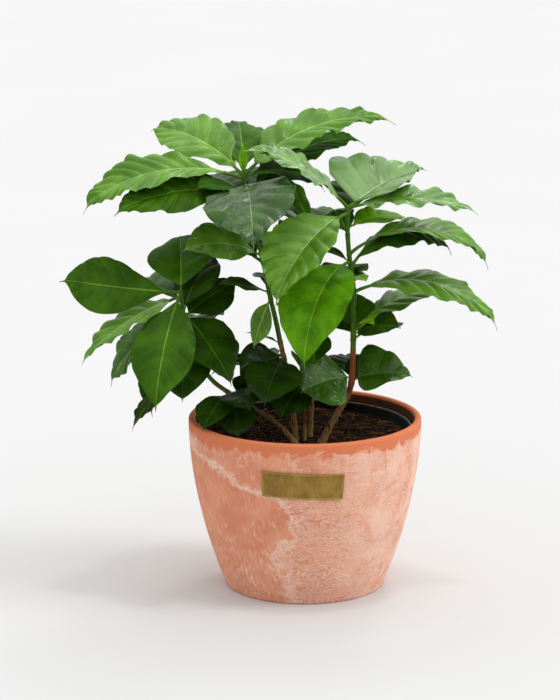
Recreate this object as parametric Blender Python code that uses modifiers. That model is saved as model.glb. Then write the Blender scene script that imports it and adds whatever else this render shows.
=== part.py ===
"""Potted coffee plant: five leafy stems in a round terracotta pot.

The plant stands on the pot's flat underside. Lengths are in metres unless a
name ends in _MM, +Z is up, the front of the pot looks along -Y, and the origin
is the centre of the underside. A heading is the compass angle of a leaf seen
from above, in degrees from +X towards +Y.
"""

import math
from dataclasses import dataclass

import bmesh
import bpy
from mathutils import Vector

# Pot, nursery liner and soil, in metres.
POT_HEIGHT = 0.1407
POT_RIM_RADIUS = 0.095
POT_FOOT_RADIUS = 0.0648
POT_SWELL = 1.9
POT_WALL = 0.0056
POT_FLOOR = 0.008
POT_LIP_RADIUS = 0.0024
POT_FOOT_ROUND = 0.0022
POT_RINGS = 7
POT_INNER_RINGS = 4
POT_STEPS = 56
LINER_TOP = 0.1325
LINER_TOP_RADIUS = 0.0868
LINER_BASE_RADIUS = 0.054
LINER_WALL = 0.0012
LINER_LIP = 0.0014
LINER_LIP_HEIGHT = 0.004
SOIL_TOP = 0.119
SOIL_EDGE_RISE = 0.0075
SOIL_FLAT_RADIUS = 0.026
# Shares of the soil's radius and how much of the edge rise is reached there.
SOIL_BEND = ((0.5, 0.25), (0.8, 0.7))
CLEARANCE = 0.0003
WELD_DISTANCE = 0.00001

# Brass plate on the front of the pot.
PLATE_WIDTH = 0.0652
PLATE_HEIGHT = 0.021
PLATE_THICK = 0.0013
PLATE_MIDDLE = 0.1063
PLATE_TURN = -0.027
PLATE_TILT = math.radians(-2.1)
PLATE_BORDER = 0.0016
PLATE_SINK = 0.0004
PLATE_COLUMNS = 12
PLATE_GAP = 0.0004

# Stems.
STEM_SIDES_RESOLUTION = 3
TWIG_SIDES_RESOLUTION = 2
CURVE_STEP_MM = 1.0
RING_STEP_MM = 9.0
END_RING_MM = 1.5
FLARE_SHARE = 0.45
FLARE_HEIGHT_MM = 5.0

# Leaves.
LEAF_THICK_SHARE = 0.018
LEAF_LEAST_THICK = 0.0016
PETIOLE_SHARE = 0.09
PETIOLE_HALF_WIDTH = 0.0012
TIP_HALF_WIDTH = 0.0004
LEAF_CUP = 0.12
STATIONS = (0.0, PETIOLE_SHARE, 0.16, 0.30, 0.48, 0.66, 0.83, 1.0)
BLADE_COLUMNS = 4
SMALL_BLADE_COLUMNS = 2
SMALL_LEAF_MM = 60.0
MIDRIB_STEPS = 48
TIP_THIN_SHARE = 0.35
BLADE_ROUNDNESS = 0.8
DRIP_TIP_START = 0.86
DRIP_TIP_SHARE = 0.5


@dataclass
class Leaf:
    """One leaf: where it joins its stem, its sizes in mm and its angles."""

    height: float
    heading: float
    pitch: float
    length: float
    width: float
    bow: float = 40.0
    roll: float = 0.0
    fold: float = 12.0
    belly: float = 1.1


@dataclass
class Section:
    """One stretch of a stem; with leaves it is a mass, without it is a limb."""

    name: str
    top: float
    leaves: tuple = ()


@dataclass
class Stem:
    """A stem: the points its centre line runs through and its sections."""

    points: tuple
    foot_radius: float
    tip_radius: float
    sections: tuple


STEM_LEFT = Stem(
    points=((-3, -5, 112), (-21, -8, 134), (-43, -11, 150), (-62, -14, 163),
            (-77, -16, 176), (-90, -18, 198), (-97, -19, 225), (-100, -19, 249)),
    foot_radius=2.1,
    tip_radius=1.45,
    sections=(
        Section("stem_left", 154),
        Section("foliage_left_low", 167, (
            Leaf(163, -69, -3, 52, 36, roll=10),
            Leaf(162, -115, -21, 55, 30, roll=-8),
            Leaf(160, -85, -34, 46, 34, 30),
            Leaf(160, 58, 2, 55, 34),
        )),
        Section("bough_left", 200),
        Section("foliage_left_top", 249, (
            Leaf(246, 92, 38, 65, 56, roll=-12),
            Leaf(230, 56, 44, 62, 44),
            Leaf(247, -173, 8, 98, 48, -8, -62, 6, 1.5),
            Leaf(244, -161, -30, 100, 36, 30, -10, belly=0.72),
            Leaf(230, 155, -44, 98, 52, roll=-36, belly=1.4),
            Leaf(247, -106, -50, 110, 52, 44, -4, 8),
            Leaf(224, 137, -65, 98, 44, roll=-10),
            Leaf(211, 165, -58, 96, 26, -10, -40),
            Leaf(231, -43, -43, 76, 56, 16, 6, belly=0.7),
            Leaf(220, -95, -64, 64, 50, 20, 12),
            Leaf(227, 40, 22, 60, 40, 14, 34, belly=0.9),
            Leaf(238, 128, -2, 88, 46, 50, -10),
            Leaf(213, 84, -8, 98, 46, 50),
            Leaf(206, 110, -26, 92, 44, 40),
        )),
    ),
)

STEM_TALL = Stem(
    points=((-7, 6, 112), (-10, 5, 150), (-12, 4, 169), (-16, 3, 183),
            (-20, 2, 201), (-24, 1, 221), (-28, 0, 238), (-35, 0, 273),
            (-43, 0, 302), (-50, 0, 340)),
    foot_radius=2.3,
    tip_radius=1.6,
    sections=(
        Section("stem_tall", 182),
        Section("foliage_tall_low", 206, (
            Leaf(201, -142, 21, 38, 14, 10),
            Leaf(190, -138, -15, 50, 38, 30, -56, belly=1.0),
            Leaf(188, -104, -21, 70, 48, roll=-10),
            Leaf(190, 126, -18, 80, 42, 30),
            Leaf(187, 160, -16, 70, 36, 30),
        )),
        Section("bough_tall_low", 231),
        Section("foliage_tall_middle", 279, (
            Leaf(273, -159, 8, 71, 50, 50, -28),
            Leaf(243, -143, 15, 53, 22, 20, -20),
            Leaf(238, -112, -42, 50, 20, 20, -50),
            Leaf(270, 86, -4, 100, 44, 50),
            Leaf(267, 128, -4, 100, 46, 50),
            Leaf(243, 82, -10, 98, 44, 50),
        )),
        Section("bough_tall_high", 314),
        Section("foliage_tall_top", 341, (
            Leaf(338, 142, 17, 105, 54, 46, -24),
            Leaf(338, 94, 27, 80, 42, 45, 4),
            Leaf(336, -172, -10, 141, 48, 64, -24, 14, 1.3),
            Leaf(322, -143, 13, 53, 34, 40, -15),
            Leaf(323, -159, -4, 116, 49, 40, -34, 10),
            Leaf(330, -85, -22, 101, 76, 70, 13, 10, 0.9),
            Leaf(337, 12, -11, 74, 46, 70, 14),
            Leaf(338, 23, 15, 148, 46, 60, 18, belly=0.6),
            Leaf(321, 40, 14, 139, 42, 60, 14, belly=0.85),
            Leaf(319, 68, 2, 105, 48, 50),
            Leaf(319, 118, -2, 108, 50, 50),
            Leaf(339, -80, 85, 26, 9, 4, 0, 34, 0.9),
            Leaf(339, 100, 85, 25, 9, 4, 0, 34, 0.9),
        )),
    ),
)

STEM_RIGHT = Stem(
    points=((11, -1, 112), (24, -3, 139), (33, -5, 155), (38, -5, 172),
            (39, -5, 205), (39, -5, 243), (36, -5, 269), (34, -5, 291),
            (34, -5, 315)),
    foot_radius=2.7,
    tip_radius=1.7,
    sections=(
        Section("stem_right", 165),
        Section("foliage_right_foot", 178, (
            Leaf(172, -8, 5, 51, 56, 30, 34, 26, 0.5),
            Leaf(170, 60, 30, 36, 26, 20, belly=1.0),
            Leaf(174, -152, -9, 50, 58, 30, -46, 18, 1.0),
            Leaf(170, 94, 5, 70, 32, 40),
            Leaf(169, 60, -2, 76, 42, 40),
        )),
        Section("bough_right_low", 198),
        Section("foliage_right_low", 222, (
            Leaf(211, 26, 18, 95, 36, 52, 6, 2),
            Leaf(210, 83, 42, 42, 34, 20),
            Leaf(209, 125, 21, 36, 26, 20, -10),
            Leaf(209, -40, 15, 51, 30, 40, 34),
            Leaf(216, -22, 5, 42, 13, 60, 30),
            Leaf(205, 55, -2, 75, 34, 40),
        )),
        Section("bough_right_middle", 237),
        Section("foliage_right_middle", 281, (
            Leaf(269, -116, -39, 124, 62, 88, -6, 20, 1.05),
            Leaf(269, 162, 20, 36, 16, 30, -10),
            Leaf(275, -2, -5, 131, 52, 100, 6, 12, 1.3),
            Leaf(263, 12, 6, 106, 46, 124, 6, -8, 1.0),
            Leaf(244, -6, -13, 134, 46, 84, 14, 2, 0.92),
            Leaf(257, -64, 2, 26, 14, 20, 10),
            Leaf(262, 98, -24, 100, 48, 50),
            Leaf(250, 178, 0, 60, 32, 40),
            Leaf(247, 102, -12, 96, 44, 50),
        )),
        Section("bough_right_high", 287),
        Section("foliage_right_top", 315, (
            Leaf(313, -158, 31, 107, 36, 40, -24, 10, 0.95),
            Leaf(313, 50, 11, 106, 94, 20, 12, 34, 0.33),
            Leaf(313, -5, -1, 108, 34, 40, 16, belly=0.85),
            Leaf(297, 40, 1, 66, 36, 30, 10),
            Leaf(309, -128, -32, 117, 64, 52, -12, 28, 1.2),
            Leaf(291, 111, 26, 37, 24, 30, -10),
            Leaf(306, 80, 4, 105, 50, 50),
        )),
    ),
)

STEM_BACK = Stem(
    points=((4, 13, 112), (6, 15, 148), (8, 18, 184), (9, 19, 233),
            (9, 19, 262), (5, 19, 292)),
    foot_radius=1.9,
    tip_radius=1.35,
    sections=(
        Section("stem_back", 194),
        Section("foliage_back_low", 216, (
            Leaf(208, -92, -24, 50, 28, 36),
            Leaf(205, 100, 0, 96, 46, 50),
            Leaf(202, 64, -8, 88, 42, 50),
        )),
        Section("bough_back", 272),
        Section("foliage_back_top", 293, (
            Leaf(289, 120, 42, 60, 17, 30),
            Leaf(289, -136, 11, 41, 26, 20, -20),
            Leaf(290, -160, 38, 30, 22, 20, -10),
            Leaf(284, 74, 6, 84, 46, 40),
            Leaf(288, 132, 6, 108, 50, 50),
            Leaf(279, 98, -8, 100, 48, 50),
        )),
    ),
)

STEM_INNER = Stem(
    points=((0, 3, 112), (0, 4, 140), (-1, 3, 165), (-3, 2, 179)),
    foot_radius=1.3,
    tip_radius=1.1,
    sections=(
        Section("stem_inner", 160),
        Section("foliage_inner", 179, (
            Leaf(168, -114, -24, 50, 36, 20, -10),
            Leaf(177, -130, 58, 24, 18, 20, -20),
        )),
    ),
)

STEMS = (STEM_LEFT, STEM_TALL, STEM_RIGHT, STEM_BACK, STEM_INNER)


def material(name, colour, roughness, metallic=0.0):
    """A Principled material of one plain colour."""
    mat = bpy.data.materials.new(name)
    mat.use_nodes = True
    shader = mat.node_tree.nodes["Principled BSDF"]
    shader.inputs["Base Color"].default_value = (*colour, 1.0)
    shader.inputs["Roughness"].default_value = roughness
    shader.inputs["Metallic"].default_value = metallic
    mat.diffuse_color = (*colour, 1.0)
    return mat


def new_object(name, data, collection, mat=None):
    """Make an object of the data in the collection."""
    obj = bpy.data.objects.new(name, data)
    collection.objects.link(obj)
    if mat is not None:
        data.materials.append(mat)
    return obj


def mesh_object(name, bm, collection, mat=None):
    """Turn the bmesh into an object, with its faces looking out."""
    bmesh.ops.recalc_face_normals(bm, faces=bm.faces)
    mesh = bpy.data.meshes.new(name)
    bm.to_mesh(mesh)
    bm.free()
    return new_object(name, mesh, collection, mat)


def turned(name, profile, steps, collection, mat):
    """Turn a profile of (radius, height) points round the Z axis."""
    bm = bmesh.new()
    verts = [bm.verts.new((radius, 0.0, height)) for radius, height in profile]
    for first, second in zip(verts[:-1], verts[1:]):
        bm.edges.new((first, second))
    mesh = bpy.data.meshes.new(name)
    bm.to_mesh(mesh)
    bm.free()
    obj = new_object(name, mesh, collection, mat)
    screw = obj.modifiers.new("turn", "SCREW")
    screw.axis = "Z"
    screw.angle = math.tau
    screw.steps = steps
    screw.render_steps = steps
    screw.use_merge_vertices = True
    screw.merge_threshold = WELD_DISTANCE
    return obj


def pot_radius(height):
    """Outer radius of the pot at a height above its underside."""
    share = min(max(height / POT_HEIGHT, 0.0), 1.0)
    return POT_FOOT_RADIUS + (POT_RIM_RADIUS - POT_FOOT_RADIUS) * (
        1.0 - (1.0 - share) ** POT_SWELL
    )


def corner(radius, height, round_radius, start, end, count=3):
    """Points of a rounded corner about a centre, angles in degrees."""
    points = []
    for index in range(count + 1):
        angle = math.radians(start + (end - start) * index / count)
        points.append((radius + round_radius * math.cos(angle),
                       height + round_radius * math.sin(angle)))
    return points


def build_pot(collection, mat):
    """The pot: a curved wall with a rounded lip and a flat underside."""
    lip = POT_LIP_RADIUS
    outer_lip = corner(POT_RIM_RADIUS - lip, POT_HEIGHT - lip, lip, 90, 0)
    low = POT_FOOT_ROUND
    wall = []
    for index in range(1, POT_RINGS + 1):
        height = (POT_HEIGHT - lip) * (1 - index / POT_RINGS) + low * index / POT_RINGS
        wall.append((pot_radius(height), height))
    foot = corner(pot_radius(low) - low, low, low, 0, -90, 2)[1:]
    inside = []
    for index in range(POT_INNER_RINGS + 1):
        share = index / POT_INNER_RINGS
        height = POT_FLOOR + (POT_HEIGHT - lip - POT_FLOOR) * share
        inside.append((pot_radius(height) - POT_WALL, height))
    top_inner = corner(inside[-1][0] + lip, POT_HEIGHT - lip, lip, 180, 90)[1:]
    profile = [(0.0, POT_FLOOR), *inside, *top_inner,
               *outer_lip, *wall, *foot, (0.0, 0.0)]
    return turned("pot", profile, POT_STEPS, collection, mat)


def liner_radius(height):
    """Outer radius of the nursery liner at a height."""
    share = (height - POT_FLOOR) / (LINER_TOP - POT_FLOOR)
    return LINER_BASE_RADIUS + (LINER_TOP_RADIUS - LINER_BASE_RADIUS) * share


def build_liner(collection, mat):
    """The thin nursery pot inside, open at the top, with a small lip."""
    base = POT_FLOOR + CLEARANCE
    lip = LINER_TOP - LINER_LIP_HEIGHT
    inner_base = base + LINER_WALL
    profile = (
        (0.0, inner_base),
        (LINER_BASE_RADIUS - LINER_WALL, inner_base),
        (LINER_TOP_RADIUS - LINER_WALL, LINER_TOP),
        (LINER_TOP_RADIUS + LINER_LIP, LINER_TOP),
        (liner_radius(lip) + LINER_LIP, lip),
        (liner_radius(lip), lip),
        (LINER_BASE_RADIUS, base),
        (0.0, base),
    )
    return turned("liner", profile, POT_STEPS, collection, mat)


def build_soil(collection, mat):
    """The soil in the liner, flat where the stems stand and higher at its edge."""
    base = POT_FLOOR + CLEARANCE + LINER_WALL + CLEARANCE
    edge_height = SOIL_TOP + SOIL_EDGE_RISE
    inset = LINER_WALL + 2 * CLEARANCE
    top_radius = liner_radius(edge_height) - inset
    bends = [(share * top_radius, SOIL_TOP + rise * SOIL_EDGE_RISE)
             for share, rise in SOIL_BEND]
    profile = (
        (0.0, SOIL_TOP),
        (SOIL_FLAT_RADIUS, SOIL_TOP),
        *bends,
        (top_radius, edge_height),
        (LINER_BASE_RADIUS - inset, base),
        (0.0, base),
    )
    return turned("soil", profile, POT_STEPS, collection, mat)


def build_plate(collection, mat):
    """The bare brass plate, bent to the pot's wall, with a low border."""
    bm = bmesh.new()
    bmesh.ops.create_grid(bm, x_segments=PLATE_COLUMNS, y_segments=2, size=0.5)
    middle = pot_radius(PLATE_MIDDLE)
    for vert in bm.verts:
        across = vert.co.x * PLATE_WIDTH
        rise = vert.co.y * PLATE_HEIGHT
        height = PLATE_MIDDLE + rise * math.cos(PLATE_TILT) + across * math.sin(PLATE_TILT)
        along = across * math.cos(PLATE_TILT) - rise * math.sin(PLATE_TILT)
        radius = pot_radius(height) + PLATE_GAP
        angle = -math.pi / 2 + PLATE_TURN + along / middle
        vert.co = (radius * math.cos(angle), radius * math.sin(angle), height)
    front = bm.faces[:]
    bm.normal_update()
    if front[0].normal.y > 0:
        bmesh.ops.reverse_faces(bm, faces=front)
    back = bmesh.ops.duplicate(bm, geom=bm.verts[:] + bm.edges[:] + bm.faces[:])
    back_faces = [item for item in back["geom"] if isinstance(item, bmesh.types.BMFace)]
    bm.normal_update()
    front_verts = {vert for face in front for vert in face.verts}
    for vert in front_verts:
        vert.co += vert.normal * PLATE_THICK
    bmesh.ops.reverse_faces(bm, faces=back_faces)
    rims = [edge for edge in bm.edges if edge.is_boundary]
    bmesh.ops.bridge_loops(bm, edges=rims)
    bmesh.ops.inset_region(bm, faces=front, thickness=PLATE_BORDER, depth=0.0)
    bmesh.ops.inset_region(bm, faces=front, thickness=PLATE_SINK, depth=-PLATE_SINK)
    return mesh_object("plate", bm, collection, mat)


def centre_line(stem):
    """Smooth points along a stem, from its named points, in metres."""
    named = [Vector(point) / 1000.0 for point in stem.points]
    ends = [2 * named[0] - named[1], *named, 2 * named[-1] - named[-2]]
    line = []
    for index in range(1, len(ends) - 2):
        before, start, end, after = ends[index - 1:index + 3]
        count = max(2, round((end - start).length * 1000.0 / CURVE_STEP_MM))
        for step in range(count):
            t = step / count
            line.append(0.5 * (
                2 * start + (end - before) * t
                + (2 * before - 5 * start + 4 * end - after) * t * t
                + (3 * start - before - 3 * end + after) * t ** 3
            ))
    line.append(named[-1])
    return line


def point_at(line, height):
    """The point of a centre line at a height above the pot's underside."""
    for start, end in zip(line[:-1], line[1:]):
        if start.z <= height <= end.z:
            return start.lerp(end, (height - start.z) / (end.z - start.z))
    return line[-1].copy()


def stem_radius(stem, height):
    """Radius of a stem at a height in metres: a taper with a flared foot."""
    top = stem.points[-1][2]
    above = height * 1000.0 - SOIL_TOP * 1000.0
    share = min(max(above / (top - SOIL_TOP * 1000.0), 0.0), 1.0)
    radius = stem.foot_radius + (stem.tip_radius - stem.foot_radius) * share
    flare = 1.0 + FLARE_SHARE * math.exp(-max(above, 0.0) / FLARE_HEIGHT_MM)
    return radius * flare / 1000.0


def tube(name, stem, line, bottom, top, resolution, collection, mat):
    """A capped tapering tube along the stem between two heights."""
    end_ring = END_RING_MM / 1000.0
    low, high = bottom + end_ring, top - end_ring
    count = max(1, round((high - low) * 1000.0 / RING_STEP_MM))
    heights = [low + (high - low) * step / count for step in range(count + 1)]
    points = [point_at(line, height) for height in (bottom, *heights, top)]
    curve = bpy.data.curves.new(name, "CURVE")
    curve.dimensions = "3D"
    curve.bevel_depth = 1.0
    curve.bevel_resolution = resolution
    curve.use_fill_caps = True
    spline = curve.splines.new("POLY")
    spline.points.add(len(points) - 1)
    for item, point in zip(spline.points, points):
        item.co = (*point, 1.0)
        item.radius = stem_radius(stem, point.z)
    draft = bpy.data.objects.new(name + "_draft", curve)
    collection.objects.link(draft)
    graph = bpy.context.evaluated_depsgraph_get()
    mesh = bpy.data.meshes.new_from_object(draft.evaluated_get(graph))
    bpy.data.objects.remove(draft)
    bm = bmesh.new()
    bm.from_mesh(mesh)
    bmesh.ops.remove_doubles(bm, verts=bm.verts, dist=WELD_DISTANCE)
    ground = SOIL_TOP + CLEARANCE
    if bottom < ground:
        geometry = bm.verts[:] + bm.edges[:] + bm.faces[:]
        bmesh.ops.bisect_plane(bm, geom=geometry, dist=0.1 * WELD_DISTANCE,
                               clear_inner=True, plane_co=(0, 0, ground),
                               plane_no=(0, 0, 1))
        open_edges = [edge for edge in bm.edges if edge.is_boundary]
        bmesh.ops.holes_fill(bm, edges=open_edges)
    return mesh_object(name, bm, collection, mat)


def outline(share, belly):
    """Half-width of a blade as a share of its greatest, from base to drip tip."""
    if share <= 0.0 or share >= 1.0:
        return 0.0
    width = math.sin(math.pi * share ** belly) ** BLADE_ROUNDNESS
    drip = max(share - DRIP_TIP_START, 0.0) / (1.0 - DRIP_TIP_START)
    return width * (1.0 - DRIP_TIP_SHARE * drip)


def midrib(leaf, start):
    """Stations along a leaf: (share, point, side, up), by its bow and heading."""
    length = leaf.length / 1000.0
    heading = math.radians(leaf.heading)
    level = Vector((math.cos(heading), math.sin(heading), 0.0))
    points = [start.copy()]
    for step in range(MIDRIB_STEPS):
        middle = (step + 0.5) / MIDRIB_STEPS
        pitch = math.radians(leaf.pitch + leaf.bow * (0.5 - middle))
        move = level * math.cos(pitch) + Vector((0, 0, math.sin(pitch)))
        points.append(points[-1] + move * length / MIDRIB_STEPS)
    roll = math.radians(leaf.roll)
    flat_side = Vector((math.sin(heading), -math.cos(heading), 0.0))
    stations = []
    for share in STATIONS:
        place = share * MIDRIB_STEPS
        index = min(int(place), MIDRIB_STEPS - 1)
        point = points[index].lerp(points[index + 1], place - index)
        pitch = math.radians(leaf.pitch + leaf.bow * (0.5 - share))
        along = level * math.cos(pitch) + Vector((0, 0, math.sin(pitch)))
        normal = flat_side.cross(along)
        side = flat_side * math.cos(roll) - normal * math.sin(roll)
        up = normal * math.cos(roll) + flat_side * math.sin(roll)
        stations.append((share, point, side, up))
    return stations


def leaf_mesh(leaf, start):
    """A closed leaf, thickest at its midrib, from inside its stem to its tip."""
    stations = midrib(leaf, start)
    rows = len(stations) - 1
    thick = max(LEAF_THICK_SHARE * leaf.length / 1000.0, LEAF_LEAST_THICK)
    fold = math.radians(leaf.fold)
    small = leaf.length <= SMALL_LEAF_MM
    columns = SMALL_BLADE_COLUMNS if small else BLADE_COLUMNS
    bm = bmesh.new()
    bmesh.ops.create_grid(bm, x_segments=rows, y_segments=columns, size=1.0)
    lift = {}
    for vert in bm.verts:
        index = round((vert.co.x + 1.0) / 2.0 * rows)
        across = vert.co.y
        share, point, side, up = stations[index]
        blade = (share - PETIOLE_SHARE) / (1.0 - PETIOLE_SHARE)
        half = 0.5 * leaf.width / 1000.0 * outline(blade, leaf.belly)
        half = max(half, PETIOLE_HALF_WIDTH if index < rows else TIP_HALF_WIDTH)
        rise = abs(across) * math.sin(fold) - LEAF_CUP * across * across
        vert.co = point + side * half * across * math.cos(fold) + up * half * rise
        tip_thin = TIP_THIN_SHARE if index == rows else 1.0
        lift[vert] = up * thick * (1.0 - across * across) * tip_thin
    under = bmesh.ops.duplicate(bm, geom=bm.verts[:] + bm.edges[:] + bm.faces[:])
    faces = [item for item in under["geom"] if isinstance(item, bmesh.types.BMFace)]
    bmesh.ops.reverse_faces(bm, faces=faces)
    for vert, move in lift.items():
        vert.co += move * 0.5
        under["vert_map"][vert].co -= move * 0.5
    bmesh.ops.remove_doubles(bm, verts=bm.verts, dist=0.2 * WELD_DISTANCE)
    open_edges = [edge for edge in bm.edges if edge.is_boundary]
    bmesh.ops.holes_fill(bm, edges=open_edges)
    bmesh.ops.triangulate(bm, faces=bm.faces)
    return bm


def build_mass(section, stem, line, bottom, collection, helpers, mat):
    """One mass: its stretch of stem with the leaves fused on."""
    top = section.top / 1000.0 - CLEARANCE / 2
    body = tube(section.name, stem, line, bottom, top,
                TWIG_SIDES_RESOLUTION, collection, mat)
    pieces = []
    for number, leaf in enumerate(section.leaves):
        start = point_at(line, leaf.height / 1000.0)
        name = f"{section.name}_leaf_{number}"
        pieces.append(mesh_object(name, leaf_mesh(leaf, start), helpers))
    join = body.modifiers.new("leaves", "BOOLEAN")
    join.operation = "UNION"
    join.operand_type = "COLLECTION"
    join.collection = helpers
    join.solver = "EXACT"
    graph = bpy.context.evaluated_depsgraph_get()
    fused = bpy.data.meshes.new_from_object(body.evaluated_get(graph))
    body.modifiers.clear()
    old = body.data
    body.data = fused
    bpy.data.meshes.remove(old)
    for piece in pieces:
        bpy.data.objects.remove(piece)
    return body


def build_stem(stem, collection, helpers, mats):
    """Every limb and mass of one stem, each cut clear of the next."""
    line = centre_line(stem)
    bottom = line[0].z
    for section in stem.sections:
        if section.leaves:
            build_mass(section, stem, line, bottom, collection, helpers,
                       mats["leaf"])
        else:
            top = section.top / 1000.0 - CLEARANCE / 2
            kind = "bark" if bottom < SOIL_TOP else "green_bark"
            tube(section.name, stem, line, bottom, top,
                 STEM_SIDES_RESOLUTION, collection, mats[kind])
        bottom = section.top / 1000.0 + CLEARANCE / 2


def main():
    """Clear the scene and build the plant and its pot."""
    for obj in list(bpy.data.objects):
        bpy.data.objects.remove(obj)
    scene = bpy.context.scene
    parts = bpy.data.collections.new("potted_coffee_plant")
    helpers = bpy.data.collections.new("joined_leaves")
    scene.collection.children.link(parts)
    scene.collection.children.link(helpers)
    helpers.hide_render = True
    mats = {
        "leaf": material("leaf_green", (0.05, 0.16, 0.02), 0.35),
        "bark": material("brown_bark", (0.18, 0.09, 0.04), 0.8),
        "green_bark": material("green_bark", (0.12, 0.18, 0.05), 0.6),
    }
    build_pot(parts, material("terracotta", (0.66, 0.24, 0.14), 0.8))
    build_liner(parts, material("black_plastic", (0.02, 0.02, 0.02), 0.5))
    build_soil(parts, material("coir_soil", (0.035, 0.02, 0.012), 0.95))
    build_plate(parts, material("aged_brass", (0.42, 0.30, 0.10), 0.45, 1.0))
    for stem in STEMS:
        build_stem(stem, parts, helpers, mats)


if __name__ == "__main__":
    main()
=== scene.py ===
"""Looks of the potted coffee plant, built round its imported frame.

Lengths are in metres unless a name ends in _mm, +Z is up and the front of the
pot looks along -Y. Each mass of leaves in the frame is replaced by leaves and
leaf stalks that grow from the same stems by the same rule, with finer blades.
"""

import logging
import math
import random
from collections.abc import Callable
from dataclasses import dataclass, field
from enum import Enum
from functools import partial

import bmesh
import bpy
from mathutils import Matrix, Vector, noise


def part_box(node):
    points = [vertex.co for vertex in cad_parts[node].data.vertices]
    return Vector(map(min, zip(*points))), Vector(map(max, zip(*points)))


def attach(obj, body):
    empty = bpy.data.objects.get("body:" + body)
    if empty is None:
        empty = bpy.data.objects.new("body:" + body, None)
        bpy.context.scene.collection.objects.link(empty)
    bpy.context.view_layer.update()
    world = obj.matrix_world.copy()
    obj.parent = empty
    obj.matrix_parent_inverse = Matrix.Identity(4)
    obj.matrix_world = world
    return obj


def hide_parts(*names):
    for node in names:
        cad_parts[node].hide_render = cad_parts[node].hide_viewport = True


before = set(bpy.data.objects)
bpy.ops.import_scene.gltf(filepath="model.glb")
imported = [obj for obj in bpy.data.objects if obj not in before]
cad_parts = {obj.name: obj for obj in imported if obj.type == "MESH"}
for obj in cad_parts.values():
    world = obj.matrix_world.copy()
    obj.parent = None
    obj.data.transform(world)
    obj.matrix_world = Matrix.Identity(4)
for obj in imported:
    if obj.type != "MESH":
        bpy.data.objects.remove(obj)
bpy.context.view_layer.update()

log = logging.getLogger("coffee_plant")

Value = bpy.types.NodeSocket | float | tuple
Adder = Callable[..., bpy.types.NodeSocket]

MM = 0.001
SOIL_EDGE_RISE = 0.0075


def linear(hex_code: str) -> tuple[float, float, float, float]:
    """Turn an sRGB hex colour into a linear one.

    Args:
        hex_code: Six hex digits with a leading #.

    Returns:
        Red, green, blue and an alpha of 1.
    """
    channels = [int(hex_code[place:place + 2], 16) / 255 for place in (1, 3, 5)]
    turned = [value / 12.92 if value <= 0.04045 else ((value + 0.055) / 1.055) ** 2.4
              for value in channels]
    return (*turned, 1.0)


def smooth_step(low: float, high: float, value: float) -> float:
    """Rise smoothly from 0 at low to 1 at high."""
    share = min(max((value - low) / (high - low), 0.0), 1.0)
    return share * share * (3.0 - 2.0 * share)


@dataclass(frozen=True)
class NodeKind:
    """Blender's name of a node, its inputs in order, its output and its settings."""

    blender_name: str
    inputs: tuple[str | int, ...] = ()
    output: str | int = 0
    settings: tuple[tuple[str, str], ...] = ()


class Kind(Enum):
    """Kinds of node that the finishes and the room's light are made of.

    Sockets that share a name with others on their node go by number.
    """

    PLACE = NodeKind("ShaderNodeTexCoord", (), "Object")
    WAY = NodeKind("ShaderNodeTexCoord", (), "Generated")
    ACROSS = NodeKind("ShaderNodeSeparateXYZ", (0,), "X")
    DEPTH = NodeKind("ShaderNodeSeparateXYZ", (0,), "Y")
    HEIGHT = NodeKind("ShaderNodeSeparateXYZ", (0,), "Z")
    STRETCH = NodeKind("ShaderNodeMapping", ("Vector", "Scale"))
    NOISE = NodeKind("ShaderNodeTexNoise",
                     ("Vector", "Scale", "Detail", "Distortion", "Roughness"), "Fac")
    CELLS = NodeKind("ShaderNodeTexVoronoi", ("Vector", "Scale"), "Distance")
    RAMP = NodeKind("ShaderNodeValToRGB", ("Fac",), "Color")
    BLEND = NodeKind("ShaderNodeMix", (0, 6, 7), 2, (("data_type", "RGBA"),))
    SHIFT = NodeKind("ShaderNodeMix", (0, 2, 3), 0, (("data_type", "FLOAT"),))
    EVENLY = NodeKind("ShaderNodeMapRange", ("Value", "From Min", "From Max"), "Result")
    RANGE = NodeKind("ShaderNodeMapRange",
                     ("Value", "From Min", "From Max", "To Min", "To Max"), "Result",
                     (("interpolation_type", "SMOOTHSTEP"),))
    ADD = NodeKind("ShaderNodeMath", (0, 1), 0, (("operation", "ADD"),))
    SUBTRACT = NodeKind("ShaderNodeMath", (0, 1), 0, (("operation", "SUBTRACT"),))
    MULTIPLY = NodeKind("ShaderNodeMath", (0, 1), 0, (("operation", "MULTIPLY"),))
    MULTIPLY_ADD = NodeKind("ShaderNodeMath", (0, 1, 2), 0, (("operation", "MULTIPLY_ADD"),))
    ABSOLUTE = NodeKind("ShaderNodeMath", (0,), 0, (("operation", "ABSOLUTE"),))
    MAXIMUM = NodeKind("ShaderNodeMath", (0, 1), 0, (("operation", "MAXIMUM"),))
    MINIMUM = NodeKind("ShaderNodeMath", (0, 1), 0, (("operation", "MINIMUM"),))
    BUMP = NodeKind("ShaderNodeBump", ("Height", "Distance", "Strength"), "Normal")


def fill_sockets(node: bpy.types.Node, inputs: dict[str | int, Value]) -> None:
    """Set or link inputs of a node.

    Args:
        node: The node.
        inputs: Names or numbers of inputs, each with a value or an output.
    """
    for name, value in inputs.items():
        if isinstance(value, bpy.types.NodeSocket):
            node.id_data.links.new(value, node.inputs[name])
        else:
            node.inputs[name].default_value = value


def add_node(tree: bpy.types.NodeTree, kind: Kind, *values: Value) -> bpy.types.NodeSocket:
    """Add a node with its settings and fill or link its inputs.

    Args:
        tree: Node tree that gets the node.
        kind: Kind of node.
        values: A value or an output for each input, in the kind's order.

    Returns:
        The node's output.
    """
    what = kind.value
    node = tree.nodes.new(what.blender_name)
    for name, value in what.settings:
        setattr(node, name, value)
    fill_sockets(node, dict(zip(what.inputs, values)))
    return node.outputs[what.output]


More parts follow.
